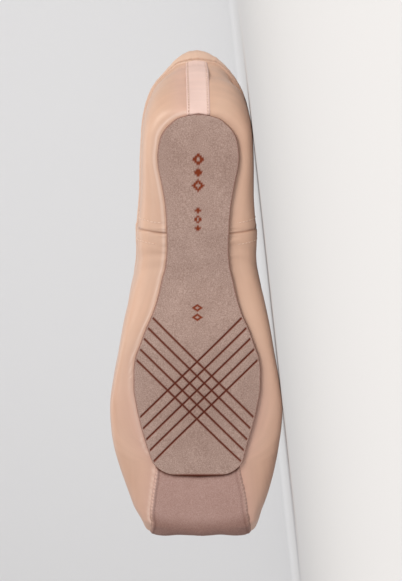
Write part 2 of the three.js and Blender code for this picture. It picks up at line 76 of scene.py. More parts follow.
# The last between heel and platform: place as a share of its length, width from 0 at the heel's to 1 at the
# ball's, heights of the widest line and the crown over crown_height, and how square it is below and above.
SECTIONS = np.array(
    [
        [0.161, 0.0, 0.36, 1.42, 3.6, 2.8], [0.22, 0.035, 0.35, 1.4, 3.6, 2.8],
        [0.279, 0.045, 0.34, 1.36, 3.6, 2.8], [0.321, 0.09, 0.33, 1.32, 3.6, 2.8],
        [0.355, 0.13, 0.32, 1.28, 3.6, 2.8], [0.406, 0.12, 0.31, 1.22, 3.7, 2.8],
        [0.49, 0.358, 0.29, 1.11, 4.2, 2.8], [0.554, 0.565, 0.27, 1.04, 4.8, 2.8],
        [0.617, 0.738, 0.25, 1.01, 5.4, 2.9], [0.664, 0.876, 0.24, 0.99, 6.0, 3.0],
        [0.727, 1.0, 0.24, 0.943, 6.0, 3.0], [0.765, 0.97, 0.24, 0.9, 5.8, 3.0],
        [0.808, 0.885, 0.24, 0.844, 5.0, 3.0], [0.85, 0.75, 0.24, 0.775, 4.0, 3.0],
        [0.892, 0.575, 0.24, 0.698, 3.2, 3.0], [0.934, 0.37, 0.24, 0.61, 2.7, 3.1],
        [0.96, 0.22, 0.24, 0.548, 2.2, 3.4],
    ]
)

# The outsole's outline: place as a share of its length, and half width over its half width at the ball.
SOLE_OUTLINE = np.array(
    [
        [0.0, 0.0], [0.0055, 0.19], [0.013, 0.33], [0.026, 0.425], [0.042, 0.515],
        [0.066, 0.592], [0.092, 0.622], [0.116, 0.634], [0.14, 0.625], [0.182, 0.577],
        [0.256, 0.508], [0.312, 0.488], [0.364, 0.482], [0.417, 0.505], [0.453, 0.556],
        [0.497, 0.612], [0.543, 0.693], [0.59, 0.812], [0.635, 0.905], [0.67, 0.975],
        [0.707, 1.0], [0.75, 1.0], [0.8, 0.959], [0.842, 0.909], [0.893, 0.83],
        [0.927, 0.773], [0.962, 0.71], [0.979, 0.62], [0.99, 0.52], [0.9965, 0.39],
        [1.0, 0.0],
    ]
)

# The toe patch's half width under the toe, in millimetres, by the place along the shoe.
PATCH_EDGE = np.array([[199.0, 20.5], [206.0, 21.6], [216.0, 23.4], [225.5, 24.6], [238.5, 26.2]])


def smooth_step(t: Array) -> Array:
    """3 t^2 - 2 t^3 with t held between 0 and 1."""
    t = np.clip(t, 0.0, 1.0)
    return t * t * (3.0 - 2.0 * t)


def mix(a: Array, b: Array, t: Array) -> Array:
    """a where t is 0, b where t is 1, and straight between."""
    return a + (b - a) * t


def bump(x: Array, centre: Array | float, width: Array | float, power: int = 2) -> Array:
    """A soft ridge of height 1: exp(-((x - centre) / width)^power)."""
    return np.exp(-(((x - centre) / width) ** power))


def on_curve(rows: Array, column: int, at: Array) -> Array:
    """A column of a table at any place, on cubic curves that never overshoot its rows.

    Each row's slope is the harmonic mean of the slopes beside it, or 0 where they differ in sign, and a cubic
    Hermite curve joins two rows.

    Args:
        rows: the table, with its places in column 0.
        column: the column that is read.
        at: the places that it is read at.

    Returns:
        The values, in the shape of at.
    """
    xs, ys = rows[:, 0], rows[:, column]
    at = np.clip(at, xs[0], xs[-1])
    slope = np.diff(ys) / np.diff(xs)
    product, total = slope[:-1] * slope[1:], slope[:-1] + slope[1:]
    inner = np.where(product > 0, 2 * product / np.where(total == 0, 1, total), 0.0)
    tangent = np.concatenate([slope[:1], inner, slope[-1:]])
    i = np.clip(np.searchsorted(xs, at, side="right") - 1, 0, len(xs) - 2)
    span = xs[i + 1] - xs[i]
    t = (at - xs[i]) / span
    t2, t3 = t * t, t * t * t
    return (
        (2 * t3 - 3 * t2 + 1) * ys[i]
        + (t3 - 2 * t2 + t) * span * tangent[i]
        + (3 * t2 - 2 * t3) * ys[i + 1]
        + (t3 - t2) * span * tangent[i + 1]
    )


def unit(v: Array) -> Array:
    """Vectors scaled to length 1 along the last axis."""
    return v / np.maximum(np.linalg.norm(v, axis=-1, keepdims=True), 1e-12)


def grid_normals(points: Array, towards: Array) -> Array:
    """The normals of a grid: the cross product of its two central differences, turned to one side.

    Args:
        points: the grid, rows by columns by 3.
        towards: directions of the same shape that the normals are to agree with.

    Returns:
        Unit normals, rows by columns by 3.
    """
    normal = np.cross(np.gradient(points, axis=0), np.gradient(points, axis=1))
    flat = np.linalg.norm(normal, axis=-1, keepdims=True) < 1e-9
    normal = np.where(flat, towards, normal)
    sign = np.where(np.sum(normal * towards, axis=-1, keepdims=True) < 0, -1.0, 1.0)
    return unit(normal * sign)


def ring_normals(grid: Array, towards: Array) -> Array:
    """The normals of a grid that goes once round: its ends are joined before the differences are taken."""
    leans = np.broadcast_to(towards, grid.shape)
    joined = [np.concatenate([part[:, -2:], part, part[:, :2]], axis=1) for part in (grid, leans)]
    return grid_normals(*joined)[:, 2:-2]


def running_length(points: Array) -> Array:
    """The length along a line, or along each column of a grid, from 0: the sum of the steps so far."""
    step = np.linalg.norm(np.diff(points, axis=0), axis=-1)
    return np.concatenate([np.zeros_like(step[:1]), np.cumsum(step, axis=0)])


def at_lengths(line: Array, run: Array, at: Array) -> Array:
    """A line's points, or its normals, at lengths along it, straight between its own; run is its own lengths."""
    return np.stack([np.interp(at, run, line[:, k]) for k in range(3)], axis=-1)


def even_rows(points: Array, count: int) -> Array:
    """Each column of a grid resampled to rows that lie evenly along its length.

    Args:
        points: a fine grid, rows by columns by 3.
        count: the number of rows wanted.

    Returns:
        The new grid, count by columns by 3.
    """
    along = running_length(points)
    along = along / np.maximum(along[-1:], 1e-9)
    offset = 2.0 * np.arange(points.shape[1])
    flat = (along + offset).T.ravel()
    target = (np.linspace(0, 1, count)[:, None] + offset).T.ravel()
    columns = [np.interp(target, flat, points[..., k].T.ravel()) for k in range(3)]
    return np.stack(columns, axis=-1).reshape(points.shape[1], count, 3).transpose(1, 0, 2)


def ripple(place: Array, seed: int, lengths: tuple[float, ...]) -> Array:
    """An uneven wave between about -1 and 1: the mean of sines whose phases come from a seed.

    Args:
        place: distances in millimetres.
        seed: the seed of the phases.
        lengths: wave lengths in millimetres.

    Returns:
        The wave at each place.
    """
    phase = np.random.default_rng(seed).uniform(0, TURN, len(lengths))
    return sum(np.sin(TURN * place / long + p) for long, p in zip(lengths, phase)) / len(lengths)


@dataclass(frozen=True)
class ShoeFrame:
    """The shoe's own axes and origin in the scene, in metres.

    Attributes:
        origin: where the shoe's frame has its zero point.
        axes: rows x (to the toe), y (to the wearer's left) and z (to the instep).
    """

    origin: Array
    axes: Array

    @classmethod
    def from_record(cls, record: dict[str, Any], heel_tread_at: float = 55.0) -> "ShoeFrame":
        """Reads the axes from the record's mounts.

        Args:
            record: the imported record.
            heel_tread_at: the heel mount's place along the shoe, in millimetres.

        Returns:
            The frame.
        """
        mounts = {mount["name"]: mount for mount in record["mounts"]}
        up = -unit(np.array(mounts["heel_tread"]["axis"], float))
        left = unit(np.cross(up, np.array(mounts["platform_tip"]["axis"], float)))
        forward = np.cross(left, up)
        origin = np.array(mounts["heel_tread"]["pos_m"], float) - heel_tread_at * MM * forward
        return cls(origin, np.stack([forward, left, up]))

    def place(self, points: Array) -> Array:
        """Points of the shoe's frame in millimetres, as points of the scene in metres."""
        return self.origin + (points * MM) @ self.axes


@dataclass
class Stations:
    """Upright profiles round the last, one value of each array for a profile.

    Attributes:
        axis: where along the shoe the profile starts.
        along: how far its direction points to the toe.
        across: how far its direction points to the left or right.
        reach: how wide it is at its widest line.
        flat: how wide its level underside is.
        widest: the height of the widest line.
        crown: the height of the top.
        below: how square it is under the widest line.
        above: how square it is over it.
    """

    axis: Array
    along: Array
    across: Array
    reach: Array
    flat: Array
    widest: Array
    crown: Array
    below: Array
    above: Array

    def part(self, which: slice) -> "Stations":
        """Some of the profiles."""
        return Stations(*(values[which] for values in astuple(self)))

    def mirrored(self) -> "Stations":
        """The same profiles on the other side, from the last to the first."""
        turned = self.part(slice(None, None, -1))
        turned.across = -turned.across
        return turned

    @staticmethod
    def joined(parts: list["Stations"]) -> "Stations":
        """Several runs of profiles in one."""
        return Stations(*map(np.concatenate, zip(*map(astuple, parts))))


@dataclass
class Last:
    """The form that the shoe is made on. All sizes are in millimetres.

    Most are sizes of the solids that their names explain; heel_depth is where the heel's centre is, and gap is
    what stays free between two pieces.

    Attributes:
        heel_point: how pointed the heel's outline is, where 2 is a circle.
        throat_round: how round the throat's front is, where 2 is an ellipse.
        heel_dip: how steeply the collar falls from the back of the heel.
        tip_exponent: how square the platform's outline is.
        topstitches: how far each row of stitches is from the side seam.
        seam_bend: how far the side seam bends to the heel on its way up from the sole's edge.
        heel_drawn: how far this shoe's heel is drawn in beside the strip, at the left and the right.
        dome_drawn: how far the heel is drawn in under the binding.
        corners_forward: how far the toe's bottom corners are pushed forward.
        toe_narrowed: the share that the toe's level stretch is narrowed by.
        box_lean: how far the box leans to the right.
        tip_lean: how far the tip leans on from there.
        corner_drawn: how far the toe's left corner is drawn in.
        heel_turns: the directions round the heel's centre, and the last's reach there.
        toe_turns: the same round the toe's centre.
    """

    length: float = 238.5
    ball_width: float = 84.8
    heel_width: float = 54.2
    heel_depth: float = 40.0
    heel_point: float = 1.85
    crown_height: float = 48.0
    platform_width: float = 54.0
    platform_depth: float = 8.0
    arch_rise: float = 3.0
    toe_spring: float = 4.0
    heel_height: float = 47.0
    side_height: float = 34.0
    vamp_length: float = 82.0
    throat_width: float = 56.0
    quarter_wall: float = 1.6
    box_wall: float = 3.0
    vamp_step: float = 0.5
    seam_at: float = 84.0
    sole_setback: float = 25.7
    sole_length: float = 180.2
    sole_ball_width: float = 62.6
    sole_thickness: float = 2.0
    sole_reveal: float = 0.8
    gap: float = 0.3
    throat_round: float = 2.2
    heel_dip: float = 0.12
    tip_exponent: float = 6.0
    topstitches: tuple[float, float] = (-5.3, 5.6)
    seam_bend: float = 1.0
    heel_drawn: tuple[float, float] = (1.7, 0.4)
    dome_drawn: float = 1.8
    corners_forward: float = 0.9
    toe_narrowed: float = 0.019
    box_lean: float = 1.45
    tip_lean: float = 0.8
    corner_drawn: float = 0.6
    heel_turns: tuple[Array, Array] = field(init=False)
    toe_turns: tuple[Array, Array] = field(init=False)

    def __post_init__(self) -> None:
        """Works out the reach of the last by direction, at the heel and at the toe."""
        angle = np.linspace(0, np.pi / 2, 1500)
        power = 2 / self.heel_point
        back = self.heel_depth * np.cos(angle).clip(0) ** power
        side = self.half(np.full_like(angle, self.heel_depth)) * np.sin(angle) ** power
        self.heel_turns = (np.arctan2(side, back), np.hypot(side, back))
        power = 2 / self.tip_exponent
        front = self.platform_depth * np.cos(angle).clip(0) ** power
        wide = mix(self.half(np.array(self.toe_centre)), self.platform_width / 2, front / self.platform_depth)
        side = wide * np.sin(angle) ** power
        self.toe_turns = (np.arctan2(side, front), np.hypot(side, front))

    @property
    def bottom_height(self) -> float:
        """How high the last's underside is over the treading plane."""
        return self.sole_thickness + self.gap

    @property
    def toe_centre(self) -> float:
        """Where along the shoe the platform's profiles start."""
        return self.length - self.platform_depth

    @property
    def sole_end(self) -> float:
        """Where along the shoe the outsole ends."""
        return self.sole_setback + self.sole_length

    @property
    def throat_at(self) -> float:
        """Where along the shoe the collar's front is."""
        return self.length - self.vamp_length

    def half(self, x: Array) -> Array:
        """Half the last's width at a place along it."""
        width = on_curve(SECTIONS, 1, np.asarray(x) / self.length)
        return mix(self.heel_width, self.ball_width, width) / 2

    def rise(self, x: Array) -> Array:
        """The underside's height: a squared sine in the arch and a parabola at the toe."""
        seat, tread, spring = 0.32 * self.length, 0.59 * self.length, 0.81 * self.length
        arch = np.clip((x - seat) / (tread - seat), 0, 1)
        toe = np.clip((x - spring) / (self.length - spring), 0, None)
        return self.arch_rise * np.sin(np.pi * arch) ** 2 + self.toe_spring * toe**2

    def bottom(self, x: Array) -> Array:
        """The height of the last's underside over the treading plane."""
        return self.bottom_height + self.rise(x)

    def sole_half(self, x: Array) -> Array:
        """Half the outsole's width."""
        share = (x - self.sole_setback) / self.sole_length
        return self.sole_ball_width / 2 * on_curve(SOLE_OUTLINE, 1, share)

    def patch_half(self, x: Array) -> Array:
        """Half the toe patch's width."""
        return on_curve(PATCH_EDGE, 1, x)

    def flat_half(self, x: Array) -> Array:
        """Half the width of the level underside: the outsole's, and further on the patch's."""
        toe = smooth_step((x - (self.sole_end - 14)) / 10)
        return mix(self.sole_half(x) + self.sole_reveal, self.patch_half(x), toe)

    def side_stations(self, x: Array) -> Stations:
        """The profiles square to the shoe's length."""
        at = x / self.length
        height = self.crown_height
        return Stations(
            x,
            np.zeros_like(x),
            np.ones_like(x),
            self.half(x),
            self.flat_half(x),
            height * on_curve(SECTIONS, 2, at),
            height * on_curve(SECTIONS, 3, at),
            on_curve(SECTIONS, 4, at),
            on_curve(SECTIONS, 5, at),
        )

    def heel_stations(self, turn: Array) -> Stations:
        """The profiles that fan out from the heel's centre; turn is 0 to the back, a right angle to the side."""
        side = self.side_stations(np.full_like(turn, self.heel_depth))
        back = np.cos(turn) ** 2
        flat_back = self.heel_depth - self.sole_setback + self.sole_reveal
        return Stations(
            side.axis,
            -np.cos(turn),
            np.sin(turn),
            np.interp(turn, *self.heel_turns),
            1 / np.hypot(np.cos(turn) / flat_back, np.sin(turn) / side.flat),
            mix(side.widest, 0.98 * self.heel_height, back),
            side.crown,
            mix(side.below, 1.15, back),
            side.above,
        )

    def toe_stations(self, turn: Array) -> Stations:
        """The profiles that fan out from the toe's centre; turn is 0 to the front, a right angle to the side."""
        side = self.side_stations(np.full_like(turn, self.toe_centre))
        front = np.cos(turn) ** 2
        flat_front = 0.3 * self.platform_depth
        n = 4
        flat = (np.abs(np.cos(turn) / flat_front) ** n + np.abs(np.sin(turn) / side.flat) ** n) ** (-1 / n)
        return Stations(
            side.axis,
            np.cos(turn),
            np.sin(turn),
            np.interp(turn, *self.toe_turns),
            flat,
            mix(side.widest, 0.2 * self.crown_height, front),
            side.crown,
            mix(side.below, 3.0, front),
            mix(side.above, 6.0, front),
        )

    def radius(self, station: Stations, height: Array) -> Array:
        """How wide a profile is at a height over the last's underside, by its superellipses."""
        low = np.clip(1 - height / station.widest, 0, 1)
        under = mix(station.flat, station.reach, (1 - low**station.below) ** (1 / station.below))
        up = np.clip((height - station.widest) / (station.crown - station.widest), 0, 1)
        over = station.reach * (1 - up**station.above) ** (1 / station.above)
        return np.where(height < station.widest, under, over)

    def outside(self, points: Array) -> Array:
        """Whether points are outside the last."""
        x, y, z = points[..., 0], np.abs(points[..., 1]), points[..., 2]
        axis = np.clip(x, self.heel_depth, self.toe_centre)
        away = x - axis
        turn = np.arctan2(y, np.abs(away))
        kinds = (self.side_stations(axis), self.heel_stations(turn), self.toe_stations(turn))
        height = z - self.bottom(x)
        radii = [self.radius(kind, height) for kind in kinds]
        radius = np.where(away < 0, radii[1], np.where(away > 0, radii[2], radii[0]))
        crown = np.where(away < 0, kinds[1].crown, np.where(away > 0, kinds[2].crown, kinds[0].crown))
        return (height < 0) | (height > crown) | (np.hypot(away, y) > radius)

    def cast(self, start: Array, direction: Array, far: float = 90.0) -> Array:
        """Where rays from inside the last leave it, found by halving a stretch 36 times.

        Args:
            start: points inside the last.
            direction: unit directions.
            far: a length that surely ends outside.

        Returns:
            The points on the last.
        """
        near = np.zeros(start.shape[:-1] + (1,))
        end = np.full_like(near, far)
        for _ in range(36):
            middle = (near + end) / 2
            out = self.outside(start + middle * direction)[..., None]
            near, end = np.where(out, near, middle), np.where(out, middle, end)
        return start + near * direction

    def cast_upright(self, y: Array, x: float, z: float, angle: Array) -> Array:
        """Where rays in upright planes along the shoe leave the last.

        Args:
            y: the planes' places across the shoe.
            x: where along the shoe the rays start.
            z: the height that they start at.
            angle: how far they turn from straight down to the toe, or to the heel where it is negative.

        Returns:
            The points on the last.
        """
        start = np.stack([np.full_like(y, x), y, np.full_like(y, z)], axis=-1)
        way = np.stack([np.sin(angle), np.zeros_like(angle), -np.cos(angle)], axis=-1)
        return self.cast(start, way, 60.0)

    def settled(self, points: Array) -> Array:
        """Points moved as this one shoe sits, which is less even than its solids.

        The heel's top is moved towards the heel's centre: beside the strip by a soft ridge over the direction
        from there times a smooth step of the height, and under the binding by a soft ridge over each. The toe's
        bottom corners are moved forward by smooth steps. The level stretch in the toe's outline, from the section
        table's end over the toe's centre to near the tip, is narrowed by a share that rises and falls straight,
        so that the outline is smooth. The box then leans to the right, and its left corner goes in, by smooth
        steps.

        Args:
            points: n by 3 points of the even form.

        Returns:
            The points of this shoe.
        """
        x, y, z = points.T
        away = self.heel_depth - x
        turn = np.arctan2(np.abs(y), away)
        reach = np.maximum(np.hypot(away, y), 1e-6)
        beside = np.where(y > 0, *self.heel_drawn) * bump(turn, 0.45, 0.24) * smooth_step((z - 20) / 22)
        drawn = (beside + self.dome_drawn * bump(z, 39, 5.5) * bump(turn, 0, 0.5)) * (away > 0)
        x = x + self.corners_forward * smooth_step((x - 233) / 5) * smooth_step((np.abs(y) - 9) / 13)
        begins, middle, ends = SECTIONS[-1, 0] * self.length, self.toe_centre, self.length - 1.5
        level = np.clip((x - begins) / (middle - begins), 0, 1) * np.clip((ends - x) / (ends - middle), 0, 1)
        y = y * (1 - self.toe_narrowed * level * smooth_step((np.abs(y) - 18) / 8))
        lean = self.box_lean * smooth_step((x - 186) / 36) + self.tip_lean * smooth_step((x - 224) / 10)
        corner = self.corner_drawn * smooth_step((x - 223) / 13) * smooth_step((y - 12) / 10)
        return np.stack([x + drawn * away / reach, y * (1 - drawn / reach) - lean - corner, z], axis=-1)

    def profile(self, s: Stations, a: Array) -> tuple[Array, Array]:
        """How wide and how high a profile is at a share of its way up.

        Args:
            s: the profiles.
            a: 0 at the level underside's edge, 1 at the widest line and 2 at the top.

        Returns:
            The width and the height over the last's underside.
        """
        low = np.clip(a, 0, 1) * np.pi / 2
        up = np.clip(a - 1, 0, 1) * np.pi / 2
        under = mix(s.flat, s.reach, np.sin(low) ** (2 / s.below))
        over = s.reach * np.cos(up).clip(0) ** (2 / s.above)
        low_height = s.widest * (1 - np.cos(low).clip(0) ** (2 / s.below))
        top_height = mix(s.widest, s.crown, np.sin(up) ** (2 / s.above))
        return np.where(a < 1, under, over), np.where(a < 1, low_height, top_height)

    def wall(self, x: Array) -> Array:
        """The upper's wall: thin at the quarters and thick in the box."""
        return mix(self.quarter_wall, self.box_wall, smooth_step((x / self.length - 0.6) / 0.15))

    def layer(self, x: Array, up: Array) -> Array:
        """How far the vamp stands out over the quarters; up is the normal's part along z."""
        return self.vamp_step * smooth_step((x - self.seam_at + 0.4) / 0.8) * np.clip(1 + up, 0, 1)

    def seam_place(self, edge: Array) -> Array:
        """Where along the shoe the side seam is, by the distance up from the sole's edge: it bends over 8 mm."""
        return self.seam_at - self.seam_bend * np.clip((edge - 3) / 8, -0.3, 1)

    def throat_half(self, x: Array) -> Array:
        """Half the throat's width, a superellipse round its front."""
        deep = 0.62 * self.vamp_length
        t = np.clip((x - (self.throat_at - deep)) / deep, 0, 1)
        return self.throat_width / 2 * (1 - t**self.throat_round) ** (1 / self.throat_round)

    @property
    def throat_end(self) -> float:
        """Where along the shoe the collar's side runs into the throat."""
        return self.throat_at - 0.72 * 0.62 * self.vamp_length

    def top_height(self, x: Array) -> Array:
        """The height of the throat's edge, on the last's top."""
        s = self.side_stations(x)
        share = np.clip(self.throat_half(x) / s.reach, 0, 1)
        return self.bottom(x) + mix(s.widest, s.crown, (1 - share**s.above) ** (1 / s.above))

    def collar_height(self, x: Array) -> Array:
        """The height of the collar's edge from the heel to the throat, on two cubic curves."""
        low_at = 0.37 * self.length
        low = self.bottom_height + self.side_height
        end = np.array([self.throat_end, self.throat_end + 1])
        top = self.top_height(end)

        def curve(x0: float, y0: float, s0: float, x1: float, y1: float, s1: float) -> Array:
            """The cubic between two heights with a slope at each."""
            span = x1 - x0
            t = np.clip((x - x0) / span, 0, 1)
            rise = (2 * t**3 - 3 * t**2 + 1) * y0 + (t**3 - 2 * t**2 + t) * span * s0
            return rise + (3 * t**2 - 2 * t**3) * y1 + (t**3 - t**2) * span * s1

        back = curve(0.0, self.bottom_height + self.heel_height, -self.heel_dip, low_at, low, 0.0)
        front = curve(low_at, low, 0.0, self.throat_end, top[0], top[1] - top[0])
        return np.where(x < low_at, back, front)


def smooth_object(name: str, mesh: bpy.types.Mesh) -> bpy.types.Object:
    """An object of a mesh, shaded smooth and linked to the scene."""
    mesh.polygons.foreach_set("use_smooth", np.ones(len(mesh.polygons), bool))
    made = bpy.data.objects.new(name, mesh)
    bpy.context.scene.collection.objects.link(made)
    return made


@dataclass
class Builder:
    """Puts grids worked out in the shoe's frame into the scene.

    Attributes:
        frame: the shoe's frame.
        last: the shoe's form.
    """

    frame: ShoeFrame
    last: Last

    def piece(
        self,
        name: str,
        points: Array,
        faces: list[Any],
        cloth: Array | None = None,
        fields: dict[str, Array] | None = None,
        merge: float = 0.0,
    ) -> bpy.types.Object:
        """Makes a smooth mesh object of points and faces.

        Args:
            name: the piece's name.
            points: n by 3, in the shoe's millimetres.
            faces: tuples of point numbers.
            cloth: n by 2, distances along and across the surface in millimetres, for the UV map.
            fields: values per point that the finish reads by name.
            merge: points nearer than this many millimetres are merged.

        Returns:
            The object, linked to the scene, with its faces pointing outwards.
        """
        mesh = bpy.data.meshes.new(name)
        mesh.from_pydata(self.frame.place(self.last.settled(points.reshape(-1, 3))), [], faces)
        if cloth is not None:
            layer = mesh.uv_layers.new(name="cloth")
            corner = np.empty(len(mesh.loops), np.int32)
            mesh.loops.foreach_get("vertex_index", corner)
            layer.data.foreach_set("uv", (cloth.reshape(-1, 2) * MM)[corner].astype(np.float32).ravel())
        for label, values in (fields or {}).items():
            attribute = mesh.attributes.new(label, "FLOAT", "POINT")
            attribute.data.foreach_set("value", values.astype(np.float32).ravel())
        made = bmesh.new()
        made.from_mesh(mesh)
        if merge:
            bmesh.ops.remove_doubles(made, verts=made.verts, dist=merge * MM)
            bmesh.ops.dissolve_degenerate(made, edges=made.edges, dist=1e-7)
        bmesh.ops.recalc_face_normals(made, faces=made.faces)
        made.to_mesh(mesh)
        made.free()
        obj = smooth_object(name, mesh)
        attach(obj, "root")
        log.info("%s: %d faces", name, len(mesh.polygons))
        return obj


def sheet_faces(rows: int, columns: int, first: int = 0, round_columns: bool = False) -> Array:
    """The quads of a grid.

    Args:
        rows: the number of rows.
        columns: the number of columns.
        first: the number of the grid's first point.
        round_columns: whether the last column is joined to the first.

    Returns:
        n by 4 point numbers.
    """
    steps = columns if round_columns else columns - 1
    r, c = np.meshgrid(np.arange(rows - 1), np.arange(steps), indexing="ij")
    d = (c + 1) % columns
    quads = [r * columns + c, r * columns + d, (r + 1) * columns + d, (r + 1) * columns + c]
    return np.stack(quads, axis=-1).reshape(-1, 4) + first


def slab_faces(rows: int, columns: int) -> Array:
    """The quads of a closed slab: an outer grid, an inner grid after it, and their rims joined."""
    size = rows * columns
    rims = []
    for ends, step, count in (((0, size - columns), 1, columns), ((0, columns - 1), columns, rows)):
        for end in ends:
            a = end + step * np.arange(count - 1)
            rims.append(np.stack([a, a + step, a + step + size, a + size], axis=-1))
    return np.concatenate([sheet_faces(rows, columns), sheet_faces(rows, columns, size)[:, ::-1], *rims])


def linear(colour: str) -> tuple[float, float, float, float]:
    """An sRGB hex colour as the linear colour that a shader takes."""
    value = np.array([int(colour[i : i + 2], 16) for i in (1, 3, 5)]) / 255
    value = np.where(value <= 0.04045, value / 12.92, ((value + 0.055) / 1.055) ** 2.4)
    return (*value.tolist(), 1.0)


def add_node(
    tree: bpy.types.NodeTree,
    kind: str,
    settings: dict[str, Any] | None = None,
    **inputs: Any,
) -> bpy.types.Node:
    """Adds a node with its settings, and sets or links its inputs.

    Args:
        tree: the material's node tree.
        kind: the node's type without ShaderNode.
        settings: the node's own properties.
        **inputs: values or output sockets, by the input's name with _ for spaces, or by i and its number.

    Returns:
        The node.
    """
    made = tree.nodes.new("ShaderNode" + kind)
    for name, value in (settings or {}).items():
        setattr(made, name, value)
    for name, value in inputs.items():
        by_number = name[0] == "i" and name[1:].isdigit()
        socket = made.inputs[int(name[1:]) if by_number else name.replace("_", " ")]
        if isinstance(value, bpy.types.NodeSocket):
            tree.links.new(value, socket)
        else:
            socket.default_value = value
    return made


def empty_material(name: str) -> tuple[bpy.types.Material, bpy.types.NodeTree]:
    """A new material and its node tree, with nothing in it."""
    made = bpy.data.materials.new(name)
    made.use_nodes = True
    made.node_tree.nodes.clear()
    return made, made.node_tree


def per_mm(size: float) -> float:
    """The scale of a pattern on metres whose marks are as large as a size in millimetres."""
    return 1 / (size * MM)


@dataclass(frozen=True)
class Satin:
    """Warp-faced polyester satin: long floats of bright yarn give a soft sheen that runs with the cloth.

    Attributes:
        name: the material's name.
        face: its colour.
        warm: the deeper tint in its soft clouds.
        roughness: how dull its gloss is.
        sheen: how much light its yarn throws back at a glancing angle.
        thread: the spacing of its floats, in millimetres, drawn about twice as coarse as the real 0.15.
        float_length: how long its floats are, in millimetres.
        clouds: the size of its soft clouds, in millimetres.
        streak: how wide and how long its streaks are, in millimetres.
        dents: the size of its soft dents, in millimetres.
        blush: the tint where the pink field says.
        light: the tint where the pale field says, a painted highlight on the upper.
        shade_and_dirt: the colour that the soil field multiplies it by, mostly as painted shade in creases, seams
            and along edges.
    """

    name: str
    face: str
    warm: str
    roughness: float = 0.37
    sheen: float = 0.06
    thread: float = 0.32
    float_length: float = 2.1
    clouds: float = 28.0
    streak: tuple[float, float] = (4.0, 40.0)
    dents: float = 6.0
    blush: str = "#dab3a6"
    light: str = "#ead0c2"
    shade_and_dirt: str = "#a8826c"

    def material(self) -> bpy.types.Material:
        """Makes the material: floats along the UV map, soft clouds, and where the fields say a pink tint, a
        painted highlight and a darkening that is mostly painted shade.
        """
        made, tree = empty_material(self.name)
        cloth = add_node(tree, "UVMap", {"uv_map": "cloth"}).outputs["UV"]
        soil, pink, pale = (
            add_node(tree, "Attribute", {"attribute_name": name}).outputs["Fac"]
            for name in ("soil", "pink", "pale")
        )
        clouds = add_node(tree, "TexNoise", Vector=cloth, Scale=per_mm(self.clouds), Detail=3.0, Roughness=0.55)
        wide, long = map(per_mm, self.streak)
        drawn = add_node(tree, "Mapping", Vector=cloth, Scale=(long, wide, 1.0)).outputs["Vector"]
        streaks = add_node(tree, "TexNoise", Vector=drawn, Scale=1.0, Detail=2.0).outputs["Fac"]
        tinted, streaked, gloss = (
            add_node(
                tree, "MapRange", Value=value, From_Min=least, From_Max=0.7, To_Min=low, To_Max=high
            ).outputs["Result"]
            for value, least, low, high in (
                (clouds.outputs["Fac"], 0.35, 0.0, 0.55),
                (streaks, 0.3, 0.965, 1.035),
                (streaks, 0.3, self.roughness - 0.05, self.roughness + 0.06),
            )
        )
        colour = linear(self.face)
        # The pale tint paints a highlight, and the soil field's darkening paints shade.
        for share, tint, blend in (
            (tinted, linear(self.warm), "MIX"),
            (pink, linear(self.blush), "MIX"),
            (pale, linear(self.light), "MIX"),
            (1.0, streaked, "MULTIPLY"),
            (soil, linear(self.shade_and_dirt), "MULTIPLY"),
        ):
            settings = {"data_type": "RGBA", "blend_type": blend}
            colour = add_node(tree, "Mix", settings, i0=share, i6=colour, i7=tint).outputs[2]
        stretch = (per_mm(self.thread), per_mm(self.float_length), 1.0)
        floats = add_node(tree, "Mapping", Vector=cloth, Scale=stretch).outputs["Vector"]
        weave = add_node(tree, "TexNoise", Vector=floats, Scale=1.0, Detail=1.0).outputs["Fac"]
        fine = add_node(tree, "Bump", Strength=0.22, Distance=0.06 * MM, Height=weave).outputs["Normal"]
        soft = add_node(tree, "TexNoise", Vector=cloth, Scale=per_mm(self.dents), Detail=2.0).outputs["Fac"]
        relief = add_node(tree, "Bump", Strength=0.3, Distance=0.2 * MM, Height=soft, Normal=fine)
        shader = add_node(
            tree,
            "BsdfPrincipled",
            Base_Color=colour,
            Roughness=gloss,
            IOR=1.5,
            Sheen_Weight=self.sheen,
            Sheen_Roughness=0.35,
            Sheen_Tint=linear("#ffe9dc"),
            Normal=relief.outputs["Normal"],
        )
        add_node(tree, "OutputMaterial", Surface=shader.outputs["BSDF"])
        return made


